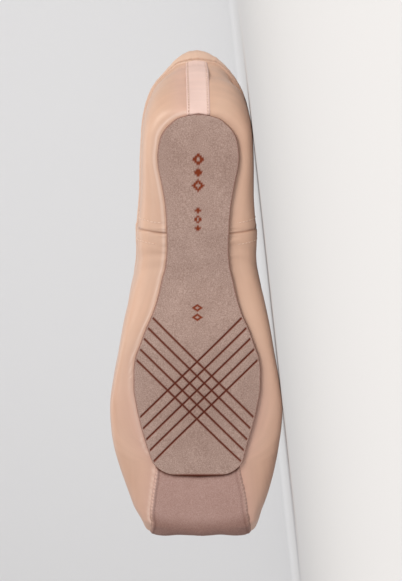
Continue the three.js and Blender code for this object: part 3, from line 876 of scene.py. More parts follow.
@dataclass(frozen=True)
class Suede:
    """Buffed split leather: a short nap that scatters light, mottled by the grain and by how the nap lies.

    Attributes:
        name: the material's name.
        face: its colour.
        deep: the colour between the fibres and where the nap lies away.
        burnt_and_edge_shadow: the colour that pressing and burning leaves, also laid as painted shadow along the
            outsole's edge.
        grain: the size of its grain, in millimetres, drawn about twice as coarse as real nap.
        patches: the size of the patches where the nap lies one way, in millimetres.
        pores: the spacing of its pores, in millimetres.
        rubbed: the colour where the pale field says.
        shade_and_dirt: the colour that the soil field multiplies it by, as painted shade and shadow and as wear.
    """

    name: str
    face: str
    deep: str
    burnt_and_edge_shadow: str
    grain: float = 0.55
    patches: float = 9.0
    pores: float = 1.1
    rubbed: str = "#e0bfb0"
    shade_and_dirt: str = "#94705c"

    def material(self) -> bpy.types.Material:
        """Makes the material: grain on Object coordinates, and rubbed, burned and darkened, partly as painted
        shade, where the fields say.
        """
        made, tree = empty_material(self.name)
        place = add_node(tree, "TexCoord").outputs["Object"]
        etch, soil, pale = (
            add_node(tree, "Attribute", {"attribute_name": name}).outputs["Fac"]
            for name in ("etch", "soil", "pale")
        )
        grain, nap = (
            add_node(
                tree, "TexNoise", Vector=place, Scale=per_mm(size), Detail=3.0, Roughness=rough
            ).outputs["Fac"]
            for size, rough in ((self.grain, 0.7), (self.patches, 0.6))
        )
        pores = add_node(tree, "TexVoronoi", Vector=place, Scale=per_mm(self.pores), Randomness=1.0)
        mottle, lie = (
            add_node(
                tree, "MapRange", Value=value, From_Min=low, From_Max=1 - low, To_Min=0.0, To_Max=high
            ).outputs["Result"]
            for value, low, high in ((grain, 0.3, 1.0), (nap, 0.35, 0.16))
        )
        added = add_node(tree, "Math", {"operation": "ADD", "use_clamp": True}, i0=mottle, i1=lie)
        colour = linear(self.face)
        # The etch field also paints shadow along the outsole's edge, and the soil field paints shade and shadow
        # besides wear.
        for share, tint, blend in (
            (added.outputs["Value"], self.deep, "MIX"),
            (pale, self.rubbed, "MIX"),
            (etch, self.burnt_and_edge_shadow, "MIX"),
            (soil, self.shade_and_dirt, "MULTIPLY"),
        ):
            settings = {"data_type": "RGBA", "blend_type": blend}
            colour = add_node(tree, "Mix", settings, i0=share, i6=colour, i7=linear(tint)).outputs[2]
        rough = add_node(
            tree, "Math", {"operation": "MULTIPLY_ADD"}, i0=pores.outputs["Distance"], i1=0.35, i2=grain
        ).outputs["Value"]
        relief = add_node(tree, "Bump", Strength=0.55, Distance=0.22 * MM, Height=rough).outputs["Normal"]
        shader = add_node(
            tree,
            "BsdfPrincipled",
            Base_Color=colour,
            Roughness=0.93,
            IOR=1.45,
            Specular_IOR_Level=0.25,
            Sheen_Weight=0.12,
            Sheen_Roughness=0.6,
            Sheen_Tint=linear("#e8cfc4"),
            Normal=relief,
        )
        add_node(tree, "OutputMaterial", Surface=shader.outputs["BSDF"])
        return made


@dataclass(frozen=True)
class PlainCloth:
    """Matt cloth, board or thread: cotton drill, sock cloth and spun polyester all show a small even weave.

    Attributes:
        name: the material's name.
        face: its colour.
        deep: the colour between the yarns.
        weave: the spacing of its yarns, in millimetres.
        clouds: the size of its soft clouds, in millimetres.
    """

    name: str
    face: str
    deep: str
    weave: float = 0.7
    clouds: float = 12.0

    def material(self) -> bpy.types.Material:
        """Makes the material on Object coordinates: two crossed waves for the yarns, and soft clouds."""
        made, tree = empty_material(self.name)
        place = add_node(tree, "TexCoord").outputs["Object"]
        # A wave texture has one band each TURN / 20 of its scale.
        scale = TURN / 20 * per_mm(self.weave)
        warp, weft = (
            add_node(
                tree, "TexWave", {"bands_direction": way}, Vector=place, Scale=scale, Distortion=0.6
            ).outputs["Fac"]
            for way in ("X", "Z")
        )
        woven = add_node(tree, "Math", {"operation": "MULTIPLY"}, i0=warp, i1=weft).outputs["Value"]
        clouds = add_node(tree, "TexNoise", Vector=place, Scale=per_mm(self.clouds), Detail=3.0).outputs["Fac"]
        share = add_node(tree, "Math", {"operation": "MULTIPLY_ADD"}, i0=woven, i1=0.5, i2=clouds)
        toned = add_node(
            tree,
            "Mix",
            {"data_type": "RGBA"},
            i0=share.outputs["Value"],
            i6=linear(self.deep),
            i7=linear(self.face),
        ).outputs[2]
        relief = add_node(tree, "Bump", Strength=0.35, Distance=0.12 * MM, Height=woven).outputs["Normal"]
        shader = add_node(tree, "BsdfPrincipled", Base_Color=toned, Roughness=0.88, IOR=1.45, Normal=relief)
        add_node(tree, "OutputMaterial", Surface=shader.outputs["BSDF"])
        return made


SATIN = Satin("peach polyester satin", "#d3b09a", "#cca48d", 0.42)
BINDING = Satin("folded satin tape", "#dcbca7", "#d0aa95", 0.46, 0.05)
STRIP = Satin("pale pink satin tape", "#e9cdc4", "#e3c0b4", 0.5, 0.05)
SOLE_SUEDE = Suede("buffed sole suede", "#c1a89e", "#92796f", "#7a3217")
PATCH_SUEDE = Suede("dyed patch suede", "#ba9c94", "#a18077", "#7d5a4c", 0.6)
LINING = PlainCloth("cotton drill lining", "#e9dccb", "#cdbca8")
SOCK = PlainCloth("brushed sock cloth", "#dccfbc", "#c0b09b", 0.9)
DYED_THREAD = PlainCloth("dyed polyester thread", "#d9b199", "#c99e86", 0.3)


def dress(obj: bpy.types.Object, *finishes: Any) -> None:
    """Gives an object its finishes, one for each material slot."""
    obj.data.materials.clear()
    for finish in finishes:
        obj.data.materials.append(finish.material())


@dataclass
class Upper:
    """The satin upper: an outer skin over a cotton lining, from the hole under the sole to the collar's edge.

    Attributes:
        builder: puts grids into the scene.
        side_step: the spacing of the profiles along the sides, in millimetres.
        outer_rows: rows of the outer skin.
        inner_rows: rows of the lining.
        under_rows: rows of the fine skin under the sole.
        low_rows: rows of the fine skin from the sole's edge to the widest line.
        margin: the lasting margin's width under the sole.
        seam_depth: how deep the side seam's crease is.
        stitch_depth: how deep the cloth is drawn in under the topstitches.
        swell: how far it swells between them and the seam.
        waist_at: where along the shoe the puckers at the sole's edge are strongest.
        waist_gather: how high they are there.
    """

    builder: Builder
    side_step: float = 1.15
    outer_rows: int = 74
    inner_rows: int = 30
    under_rows: int = 13
    low_rows: int = 89
    margin: float = 8.0
    seam_depth: float = 0.42
    stitch_depth: float = 0.14
    swell: float = 0.1
    waist_at: float = 88.0
    waist_gather: float = 0.6

    def places(self) -> Array:
        """The profiles' places along the sides, closer at the seam and at the throat's front."""
        last = self.builder.last
        even = np.arange(last.heel_depth, last.toe_centre, self.side_step)
        seam = last.seam_at + np.linspace(-2.6, 2.6, 17)
        throat = last.throat_at - 7.0 * np.linspace(1, 0, 12) ** 2
        xs = np.concatenate([even[np.abs(even - last.seam_at) > 2.8], seam, throat, [last.toe_centre]])
        xs = np.unique(np.round(xs, 4))
        return xs[np.concatenate([[True], np.diff(xs) > 0.02])]

    def stations(self) -> Stations:
        """The profiles from the middle of the heel round the left side, and back along the right."""
        last = self.builder.last
        heel = last.heel_turns[0][np.linspace(0, 1499, 26).astype(int)][:-1]
        toe = last.toe_turns[0][np.linspace(1499, 0, 30).astype(int)][1:]
        left = Stations.joined(
            [last.heel_stations(heel), last.side_stations(self.places()), last.toe_stations(toe)]
        )
        return Stations.joined([left, left.mirrored().part(slice(1, -1))])

    def top_share(self, s: Stations) -> Array:
        """How far up its profile each station is cut by the collar: 1 at the widest line and 2 at the top."""
        last = self.builder.last
        edge_x = s.axis + s.along * s.reach
        height = last.collar_height(np.where(s.along < 0, edge_x, s.axis)) - last.bottom(s.axis)
        up = np.clip((height - s.widest) / (s.crown - s.widest), 0, 1)
        low = 1 + np.arcsin(up ** (s.above / 2)) * 2 / np.pi
        share = np.clip(last.throat_half(s.axis) / s.reach, 0, 1)
        throat = 1 + np.arccos(share ** (s.above / 2)) * 2 / np.pi
        return np.where(s.axis > last.throat_end, np.where(s.axis >= last.throat_at, 2.0, throat), low)

    def skin(self, s: Stations) -> Array:
        """Fine points up each profile, on superellipses under and over the widest line.

        Args:
            s: the profiles.

        Returns:
            Rows by profiles by 3.
        """
        last = self.builder.last
        open_x = np.clip((last.sole_end - self.margin - s.axis) / 12, 0, 1)
        hole = np.maximum(s.flat - last.sole_reveal - self.margin, 0) * np.sqrt(open_x)
        hole = np.where(s.along > 0, 0.0, hole)
        under = np.linspace(0, 1, self.under_rows + 1)[:-1, None]
        a = np.linspace(0, np.pi / 2, self.low_rows + 1)[:-1, None]
        b = np.linspace(0, 1, 120)[:, None] * (self.top_share(s) - 1) * np.pi / 2
        radius = np.concatenate(
            [
                mix(hole, s.flat, under),
                mix(s.flat, s.reach, np.sin(a) ** (2 / s.below)),
                s.reach * np.cos(b).clip(0) ** (2 / s.above),
            ]
        )
        height = np.concatenate(
            [
                np.zeros_like(under) * s.flat,
                s.widest * (1 - np.cos(a) ** (2 / s.below)),
                mix(s.widest, s.crown, np.sin(b) ** (2 / s.above)),
            ]
        )
        x = s.axis + s.along * radius
        return np.stack([x, s.across * radius, last.bottom(x) + height], axis=-1)

    def relief(self, p: Array, n: Array, edge: Array, up: Array) -> Array:
        """How far the satin stands out from the last: the vamp's step, the seams, puckers and soft folds.

        Args:
            p: points of the skin.
            n: their normals.
            edge: distances up the wall from the sole's edge.
            up: distances down from the collar.

        Returns:
            Millimetres along the normals.
        """
        last = self.builder.last
        x = p[..., 0]
        past = x - last.seam_place(edge)
        shown = smooth_step((edge + 1) / 2)
        out = last.layer(x, n[..., 2]) - self.seam_depth * bump(past, 0, 0.55) * shown
        for row in last.topstitches:
            out = out - self.stitch_depth * bump(past, row, 0.5) * shown
            out = out + self.swell * bump(past, row * 0.55, 1.5) * shown
        gather = 0.05 + self.waist_gather * bump(x, self.waist_at, 12) + 0.1 * smooth_step((x - 185) / 25)
        near = np.exp(-np.clip(edge, 0, None) / 3.2) * smooth_step((edge + 2.5) / 2.5)
        waves = ripple(x + 3 * np.sign(p[..., 1]), 3, (5.3, 3.7, 8.1)) + 0.3 * ripple(x, 9, (2.3, 1.9))
        return out + gather * near * waves + self.folds(p, edge, up)

    def folds(self, p: Array, edge: Array, up: Array) -> Array:
        """Soft folds placed one by one: each is a trough or ridge along a slanting line, faded at its ends.

        Args:
            p: points of the skin.
            edge: distances up the wall from the sole's edge.
            up: distances down from the collar.

        Returns:
            Millimetres along the normals.
        """
        # place along the shoe, height, slant in degrees, half length, half width, depth, side
        folds = (
            (98.0, 9.0, 62.0, 9.0, 1.8, -0.28, Side.LEFT),
            (104.0, 8.0, 55.0, 11.0, 2.2, -0.22, Side.LEFT),
            (92.5, 8.0, 75.0, 7.0, 1.4, 0.2, Side.LEFT),
            (94.0, 8.0, 70.0, 8.0, 1.5, -0.3, Side.RIGHT),
            (100.5, 8.5, 60.0, 10.0, 2.0, -0.26, Side.RIGHT),
            (108.0, 9.0, 48.0, 12.0, 2.6, -0.2, Side.RIGHT),
            (72.0, 17.0, 20.0, 22.0, 5.0, -0.35, Side.LEFT),
            (60.0, 24.0, -12.0, 24.0, 6.0, -0.4, Side.RIGHT),
            (118.0, 20.0, 35.0, 20.0, 5.0, -0.3, Side.LEFT),
            (120.0, 22.0, 30.0, 22.0, 5.5, -0.3, Side.RIGHT),
            (18.0, 30.0, 55.0, 13.0, 4.5, -0.5, Side.LEFT),
            (12.0, 34.0, 62.0, 13.0, 4.5, -1.5, Side.RIGHT),
        )
        x, y, z = p[..., 0], p[..., 1], p[..., 2]
        out = np.zeros_like(x)
        for at, height, slant, long, wide, depth, side in folds:
            angle = np.radians(slant)
            dx, dz = x - at, z - height
            run = dx * np.cos(angle) + dz * np.sin(angle)
            off = dz * np.cos(angle) - dx * np.sin(angle)
            out = out + depth * (np.sign(y) == side.value) * bump(run, 0, long, 4) * bump(off, 0, wide)
        return out * smooth_step(edge / 4) * smooth_step(up / 6)

    def tints(self, p: Array, edge: Array) -> dict[str, Array]:
        """Where the satin is darkened, pale or pink.

        Painted shade lies in the crease at the sole, heavier at the right, and in the side seams, and the satin
        darkens faintly over the box. A painted highlight makes it pale where it turns under the sole at the left,
        and it is pink low on the box and beside the strip at the left.

        Args:
            p: points of the outer skin.
            edge: distances up the wall from the sole's edge.

        Returns:
            Shares from 0 to 1, by the name of their field.
        """
        x, y, z = p[..., 0], p[..., 1], p[..., 2]
        low = np.clip(edge, 0, None)
        seam = bump(x, self.builder.last.seam_place(edge), 0.5)
        # Painted shade along the sole's edge, heavier at the right, and in the side seams; a faint darkening
        # towards the toe.
        soil = np.where(y > 0, 0.02, 0.1) * np.exp(-low / 1.3) + 0.6 * seam + 0.16 * smooth_step((x - 110) / 100)
        # Painted highlight along the sole's edge at the left.
        pale = 0.75 * bump(edge, 0.7, 0.6) * (y > 0)
        beside_strip = bump(y, 8, 5) * (x < 27) * (z < 40)
        pink = 0.6 * np.exp(-low / 6) * smooth_step((x - 130) / 50) + 0.5 * beside_strip
        return {"soil": np.clip(soil, 0, 1), "pale": pale, "pink": np.clip(pink, 0, 1)}

    def build(self) -> bpy.types.Object:
        """Makes the upper as one closed shell: outer skin, lining, and the rims of the hole and the collar."""
        last = self.builder.last
        s = self.stations()
        fine = self.skin(s)
        outward = np.stack([s.along, s.across, np.zeros_like(s.along)], axis=-1)[None] + 0.001
        grids = []
        for rows in (self.outer_rows, self.inner_rows):
            grid = even_rows(fine, rows)
            tall = np.linspace(-1.2, 1.2, rows)[:, None, None] * np.array([0.0, 0.0, 1.0])
            grids.append((grid, ring_normals(grid, outward + tall)))
        (outer, n), (inner, m) = grids
        climb = running_length(outer)
        edge = climb - np.linalg.norm(fine[self.under_rows] - fine[0], axis=-1)
        outer = outer + n * self.relief(outer, n, edge, climb[-1:] - climb)[..., None]
        inner = inner - m * last.wall(inner[..., 0])[..., None]
        around = running_length(fine[self.under_rows + self.low_rows])
        rows = np.concatenate([climb.ravel(), np.linspace(0, 90, self.inner_rows).repeat(len(s.axis))])
        lining = np.zeros(inner.size // 3)
        fields = {name: np.append(share.ravel(), lining) for name, share in self.tints(outer, edge).items()}
        fields["inner"] = np.append(np.zeros(outer.size // 3), lining + 1)
        obj = self.builder.piece(
            "satin_upper",
            np.concatenate([outer.reshape(-1, 3), inner.reshape(-1, 3)]),
            self.faces(s).tolist(),
            np.stack([np.tile(around, self.outer_rows + self.inner_rows), rows], axis=-1),
            fields,
            0.004,
        )
        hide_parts("upper")
        dress(obj, SATIN, LINING)
        self.line_inside(obj)
        return obj

    def faces(self, s: Stations) -> Array:
        """The shell's quads: both skins, and the rims where the collar and the hole leave them open."""
        last = self.builder.last
        columns = len(s.axis)
        size = self.outer_rows * columns
        outer = sheet_faces(self.outer_rows, columns, 0, True)
        inner = sheet_faces(self.inner_rows, columns, size, True)[:, ::-1]
        here = np.arange(columns)
        after = (here + 1) % columns
        middle = (s.axis + s.axis[after]) / 2
        rims = []
        for first, second, limit in (
            (0, size, last.sole_end - self.margin),
            (size - columns, size + (self.inner_rows - 1) * columns, last.throat_at),
        ):
            kept = middle < limit
            a, b = here[kept], after[kept]
            rims.append(np.stack([first + a, first + b, second + b, second + a], axis=-1))
        return np.concatenate([outer, inner, *rims])

    def line_inside(self, obj: bpy.types.Object) -> None:
        """Gives the lining's slot to the faces whose points are mostly the inner skin's."""
        mesh = obj.data
        inner = np.empty(len(mesh.vertices), np.float32)
        mesh.attributes["inner"].data.foreach_get("value", inner)
        corner = np.empty(len(mesh.loops), np.int32)
        mesh.loops.foreach_get("vertex_index", corner)
        first, total = np.empty((2, len(mesh.polygons)), np.int32)
        mesh.polygons.foreach_get("loop_start", first)
        mesh.polygons.foreach_get("loop_total", total)
        share = np.add.reduceat(inner[corner], first) / total
        mesh.polygons.foreach_set("material_index", (share > 0.6).astype(np.int32))


@dataclass
class Outsole:
    """The suede-faced outsole: a thin plate with a rounded edge, crossed grip grooves and three pressed marks.

    Attributes:
        builder: puts grids into the scene.
        across: points across its face.
        groove_pitch: the spacing of the grooves.
        groove_width: their width.
        groove_depth: their depth.
        grooves_at: where their middle is, as a share of the sole's length.
        groove_inset: how far inside the edge they end.
        mark_depth: how deep the pressed marks are.
        round_off: the radius of the rounded edge.
    """

    builder: Builder
    across: int = 165
    groove_pitch: float = 5.1
    groove_width: float = 1.1
    groove_depth: float = 0.5
    grooves_at: float = 0.758
    groove_inset: float = 0.9
    mark_depth: float = 0.22
    round_off: float = 0.45

    def places(self) -> Array:
        """Places along the sole, closer together at both ends and through the grooves."""
        last = self.builder.last
        middle = last.sole_setback + self.grooves_at * last.sole_length
        ends = 9 * (1 - np.cos(np.linspace(0, np.pi / 2, 26)))
        heel = last.sole_setback + ends
        toe = last.sole_end - ends[::-1]
        before = np.arange(heel[-1], middle - 44, 0.95)
        fine = np.arange(middle - 44, min(middle + 44, toe[0]), 0.36)
        xs = np.unique(np.round(np.concatenate([heel, before, fine, toe]), 3))
        return xs[np.concatenate([[True], np.diff(xs) > 0.004])]

    def etched(self, x: Array, y: Array) -> tuple[Array, Array]:
        """How deep the face is and how much burn colour it takes: 1 in a groove or mark, fading straight over
        0.42 mm or 0.3 mm.

        Args:
            x: places along the shoe.
            y: places across it.

        Returns:
            The share of the grooves and that of the pressed marks.
        """
        last = self.builder.last
        middle = last.sole_setback + self.grooves_at * last.sole_length
        inside = last.sole_half(x) - np.abs(y) - self.groove_inset
        ends = np.clip(inside / 0.4 + 0.5, 0, 1)
        grooves = np.zeros_like(x)
        for sign in (1, -1):
            off = ((x - middle) + sign * y) / np.sqrt(2)
            for number in range(-2, 3):
                away = np.abs(off - number * self.groove_pitch) - self.groove_width / 2
                grooves = np.maximum(grooves, np.clip(0.22 - away / 0.42, 0, 1))
        marks = np.zeros_like(x)
        # place along the shoe, half length and half width of a lozenge, and of the lozenge left plain in it
        for at, long, wide, hole in (
            (47.6, 3.2, 3.2, 1.3),
            (54.0, 2.3, 2.4, 0.0),
            (60.4, 3.2, 3.2, 1.3),
            (72.6, 1.5, 1.8, 0.0),
            (77.0, 2.1, 2.3, 0.9),
            (81.4, 1.5, 1.8, 0.0),
            (121.2, 1.9, 2.8, 0.8),
            (125.8, 1.9, 2.8, 0.8),
        ):
            share, size = np.abs(x - at) / long + np.abs(y) / wide, min(long, wide) * 0.7
            shape = np.clip(0.5 - (share - 1) * size / 0.3, 0, 1)
            if hole:
                shape = shape * np.clip(0.5 + (share * size - hole * 0.62) / 0.3, 0, 1)
            marks = np.maximum(marks, shape)
        return grooves * ends, marks

    def build(self) -> bpy.types.Object:
        """Makes the sole as rings across it: its face, a rounded edge, its hidden top and the other edge."""
        last = self.builder.last
        xs = self.places()
        half = last.sole_half(xs)
        face = np.linspace(-1, 1, self.across)
        corner = np.linspace(0, np.pi / 2, 5)[1:]
        inset = np.minimum(self.round_off, half)
        low_y = face[None, :] * (half - inset)[:, None]
        side_y = (half - inset)[:, None] + inset[:, None] * np.sin(corner)[None]
        side_z = np.broadcast_to(self.round_off * (1 - np.cos(corner)), side_y.shape)
        top_y = np.linspace(1, -1, 12)[None] * half[:, None]
        top_z = np.full_like(top_y, last.bottom_height - 0.04)
        y = np.concatenate([low_y, side_y, top_y, -side_y[:, ::-1]], axis=1)
        z = np.concatenate([np.zeros_like(low_y), side_z, top_z, side_z[:, ::-1]], axis=1)
        x = np.broadcast_to(xs[:, None], y.shape)
        grooves, marks = self.etched(x, y)
        on_face = np.arange(y.shape[1]) < self.across
        z = z + (self.groove_depth * grooves + self.mark_depth * marks) * on_face + last.rise(xs)[:, None]
        points = np.stack([x, y, z], axis=-1)
        toe = smooth_step((xs - (last.sole_end - 3.5)) / 3.5)[:, None]
        # Painted shadow: a dark line along the sole's edge and across both ends, strongest at the toe end, laid
        # with the grooves and marks.
        rim = np.clip(1 - (half[:, None] - np.abs(y)) / 0.75, 0, 1)
        ends = np.clip(1.3 - np.minimum((x - last.sole_setback) * 2.2, last.sole_end - x) / 1.1, 0, 1)
        edge = np.maximum(rim, ends) * (0.5 + 0.5 * toe)
        etch = np.maximum.reduce([grooves, marks, edge])
        trodden = 0.22 * bump(x, 168, 26) * bump(y, 0, 24) + 0.12 * bump(x, 48, 14)
        # Painted shadow at the toe end, darker grooves, and real wear where the foot treads.
        worn = ends * toe + 0.6 * grooves + trodden
        columns = y.shape[1]
        faces = sheet_faces(len(xs), columns, 0, True)
        caps = [tuple(range(columns)), tuple(range((len(xs) - 1) * columns, len(xs) * columns))]
        obj = self.builder.piece(
            "suede_outsole",
            points,
            faces.tolist() + caps,
            points[..., :2],
            {"etch": etch, "soil": np.clip(worn, 0, 1)},
            0.003,
        )
        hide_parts("outsole")
        dress(obj, SOLE_SUEDE)
        return obj


@dataclass
class ToePatch:
    """The suede patch from the sole's end round the platform, with a whip-stitched, puckered edge.

    Attributes:
        builder: puts grids into the scene.
        thickness: how far its face stands off the last.
        height: how high it goes over the last's underside.
        whip_pitch: the spacing of the stitches over its edge.
        rows: rows from the sole to its upper edge.
        columns: columns across it.
    """

    builder: Builder
    thickness: float = 1.05
    height: float = 27.0
    whip_pitch: float = 1.9
    rows: int = 130
    columns: int = 150

    def hit(self, side: Array, share: Array) -> Array:
        """The points of the last under the patch, by rays in upright planes along the shoe.

        Args:
            side: from -1 at the right edge to 1 at the left edge.
            share: from 0 at the sole's end to 1 at the upper edge.

        Returns:
            The points.
        """
        last = self.builder.last
        centre_x, centre_z = 218.0, last.bottom_height + 13.0
        outline = SOLE_OUTLINE[SOLE_OUTLINE[:, 0] > 0.93]
        half_at_end = outline[::-1, 1] * last.sole_ball_width / 2
        x_at_end = last.sole_setback + last.sole_length * outline[::-1, 0]
        top = last.bottom_height + self.height - 5.5 * np.abs(side) ** 3
        final = np.arctan2(last.length - centre_x, centre_z - top)
        y = side * 25.0
        for _ in range(3):
            start_x = np.interp(np.abs(y), half_at_end, x_at_end) + 0.25
            first = np.arctan2(start_x - centre_x, centre_z - last.bottom(start_x))
            found = last.cast_upright(y, centre_x, centre_z, mix(first, final, share))
            y = side * last.patch_half(found[..., 0])
        return found

    def build(self) -> bpy.types.Object:
        """Makes the patch as a slab whose face falls to the satin over its last two millimetres."""
        last = self.builder.last
        even = np.linspace(-1, 1, self.columns)
        across = 0.35 * np.sin(even * np.pi / 2) + 0.65 * even
        side, share = np.meshgrid(across, np.linspace(0, 1, self.rows))
        base = self.hit(side, share)
        x, y = base[..., 0], base[..., 1]
        n = grid_normals(base, base - np.array([210.0, 0.0, 16.0]))
        layer = last.layer(x, n[..., 2])
        run = running_length(base)
        top = run[-1:] - run
        lateral = (1 - np.abs(side)) * last.patch_half(x)
        edge = np.minimum(lateral, top)
        tip, worn = smooth_step((x - 230.0) / 6.0), smooth_step((x - 231.0) / 6.0)
        rim = 1 - bump(np.clip(edge, 0, None), 0, 0.7 + 0.5 * tip)
        ridge = 0.26 * (1 - tip) * bump(edge, 1.1, 0.6)
        round_edge = np.where(lateral < top, run, y + 60)
        wander = 0.8 * ripple(round_edge, 4, (9.0, 6.1))
        whip = 0.5 + 0.5 * np.cos(TURN * (round_edge + 0.5 * edge) / self.whip_pitch + wander)
        seam = ridge * (0.45 + 0.8 * whip) - 0.22 * bump(edge, 2.5, 0.5)
        soft = 0.1 * ripple(y + 0.4 * run, 6, (17.0, 11.0)) * smooth_step(edge / 5)
        lift = layer + self.thickness * rim + seam + soft - 0.12 * worn
        lift = lift * (1 - 0.15 * bump(run, 0, 0.6))
        outer = base + n * lift[..., None]
        inner = base + n * (layer - 0.05)[..., None]
        pale = bump(edge, 0.6, 0.6) * (0.25 + 0.55 * whip) * (1 - 0.6 * tip)
        # Painted shade where the tip turns away from the light and in the groove inside the edge, and painted
        # shadow just under the sole's end.
        tip_shade = 0.45 * smooth_step((run - 21.0) / 8.0) * (1 - 0.7 * smooth_step((run - 37.0) / 8.0))
        dark = tip_shade + bump(run, 0, 1.1) + 0.15 * bump(edge, 2.4, 0.6)
        obj = self.builder.piece(
            "suede_toe_patch",
            np.concatenate([outer.reshape(-1, 3), inner.reshape(-1, 3)]),
            slab_faces(self.rows, self.columns).tolist(),
            np.tile(np.stack([y, run], axis=-1).reshape(-1, 2), (2, 1)),
            {"soil": np.tile(np.clip(dark, 0, 1).ravel(), 2), "pale": np.tile(pale.ravel(), 2)},
        )
        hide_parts("toe_patch")
        dress(obj, PATCH_SUEDE)
        return obj


@dataclass
class BackStrip:
    """The narrow satin strip over the seam up the back of the heel, with a row of stitches at each side.

    Attributes:
        builder: puts grids into the scene.
        width: the strip's width.
        thickness: how far it stands off the satin.
        stitch_inset: how far its stitches are from its edges.
        pitch: the length of a stitch and the hole after it.
        rows: rows along it.
        columns: columns across it.
    """

    builder: Builder
    width: float = 11.4
    thickness: float = 0.45
    stitch_inset: float = 1.05
    pitch: float = 1.9
    rows: int = 110
    columns: int = 44

    def hit(self, y: Array, share: Array) -> Array:
        """The points of the last under the strip, by rays in upright planes along the shoe.

        Args:
            y: places across the strip.
            share: from 0 at the sole's end to 1 under the binding.

        Returns:
            The points.
        """
        last = self.builder.last
        outline = SOLE_OUTLINE[:6]
        start_x = last.sole_setback + last.sole_length * np.interp(
            np.abs(y), outline[:, 1] * last.sole_ball_width / 2, outline[:, 0]
        )
        centre_z = 38.0
        first = np.arctan2(last.heel_depth - start_x + 0.1, centre_z - last.bottom_height)
        angle = mix(first, np.arctan2(37.0, -3.4), share)
        return last.cast_upright(y, last.heel_depth, centre_z, -angle)

    def build(self) -> list[bpy.types.Object]:
        """Makes the strip as a slab with turned-in edges, and its stitches."""
        across = np.linspace(-1, 1, self.columns) * self.width / 2
        y, share = np.meshgrid(across, np.linspace(0, 1, self.rows))
        base = self.hit(y, share)
        n = grid_normals(base, base - np.array([45.0, 0.0, 40.0]))
        run = running_length(base)
        edge = self.width / 2 - np.abs(y)
        rim = 1 - bump(edge, 0, 0.4)
        puckers = 0.08 * ripple(run + 0.6 * y, 5, (2.4, 3.3, 5.2)) * bump(edge, 1.0, 1.2)
        crown = 0.08 * (1 - (2 * y / self.width) ** 2)
        furrow = 0.16 * bump(edge, self.stitch_inset, 0.35)
        outer = base + n * (0.05 + self.thickness * rim + puckers + crown - furrow)[..., None]
        # Painted shade: dark dashes in the stitch furrows, heavier at the left, and a dark line along the strip's
        # edges.
        dashes = np.where(y > 0, 0.5, 0.2) + 0.5 * (0.5 + 0.5 * np.cos(TURN * run / self.pitch))
        soil = dashes * bump(edge, self.stitch_inset, 0.32) + 0.3 * bump(edge, 0, 0.3)
        obj = self.builder.piece(
            "satin_back_strip",
            np.concatenate([outer.reshape(-1, 3), (base - 0.1 * n).reshape(-1, 3)]),
            slab_faces(self.rows, self.columns).tolist(),
            np.tile(np.stack([y, run], axis=-1).reshape(-1, 2), (2, 1)),
            {"soil": np.tile(soil.ravel(), 2)},
        )
        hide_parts("back_strip")
        dress(obj, STRIP)
        lines = [np.argmin(np.abs(across - side.value * (self.width / 2 - self.stitch_inset))) for side in Side]
        seams = [(outer[:, column], n[:, column]) for column in lines]
        stitches = Stitches(self.builder, "back_strip_stitches", seams, self.pitch).build()
        return [obj, stitches]


@dataclass
class Stitches:
    """Rows of machine stitches: each is a short thread that dips into the cloth at both ends.

    Attributes:
        builder: puts grids into the scene.
        name: the piece's name.
        seams: lines of points with their normals.
        pitch: the length of a stitch and the hole after it.
        thick: the thread's thickness.
        around: points round the thread.
        along: rings along each stitch.
        finish: the thread.
    """

    builder: Builder
    name: str
    seams: list[tuple[Array, Array]]
    pitch: float
    thick: float = 0.34
    around: int = 6
    along: int = 7
    finish: PlainCloth = PlainCloth("spun polyester thread", "#f2dccb", "#e2c4b0", 0.3)

    def build(self) -> bpy.types.Object:
        """Makes every stitch at once: a ring of points carried along a bow, with its ends drawn to points."""
        places, ways, ups = [], [], []
        for line, normal in self.seams:
            run = running_length(line)
            at = np.arange(self.pitch / 2, run[-1], self.pitch)
            places.append(at_lengths(line, run, at))
            ups.append(unit(at_lengths(normal, run, at)))
            ways.append(unit(at_lengths(line, run, at + 0.2) - places[-1] + 1e-9))
        place, way, up = np.concatenate(places), unit(np.concatenate(ways)), np.concatenate(ups)
        beside = unit(np.cross(way, up))
        u = np.linspace(-1, 1, self.along)[:, None]
        ring = np.linspace(0, TURN, self.around, endpoint=False)
        radius = self.thick / 2 * np.sqrt(np.clip(1 - u**2, 0.02, 1))
        forward = np.broadcast_to(u * self.pitch * 0.45, (self.along, self.around))
        bow = 0.1 - 0.28 * u**4
        local = np.stack([forward, radius * np.cos(ring), bow + radius * np.sin(ring) * 0.8], axis=-1)
        axes = np.stack([way, beside, up], axis=1)
        points = place[:, None, :] + np.einsum("vk,nkj->nvj", local.reshape(-1, 3), axes)
        size = self.along * self.around
        start = size * np.arange(len(place))[:, None]
        quads = sheet_faces(self.along, self.around, 0, True)
        faces = (quads[None] + start[..., None]).reshape(-1, 4).tolist()
        faces += (start + np.arange(self.around)[::-1]).tolist()
        faces += (start + np.arange(size - self.around, size)).tolist()
        obj = self.builder.piece(self.name, points, faces)
        dress(obj, self.finish)
        return obj


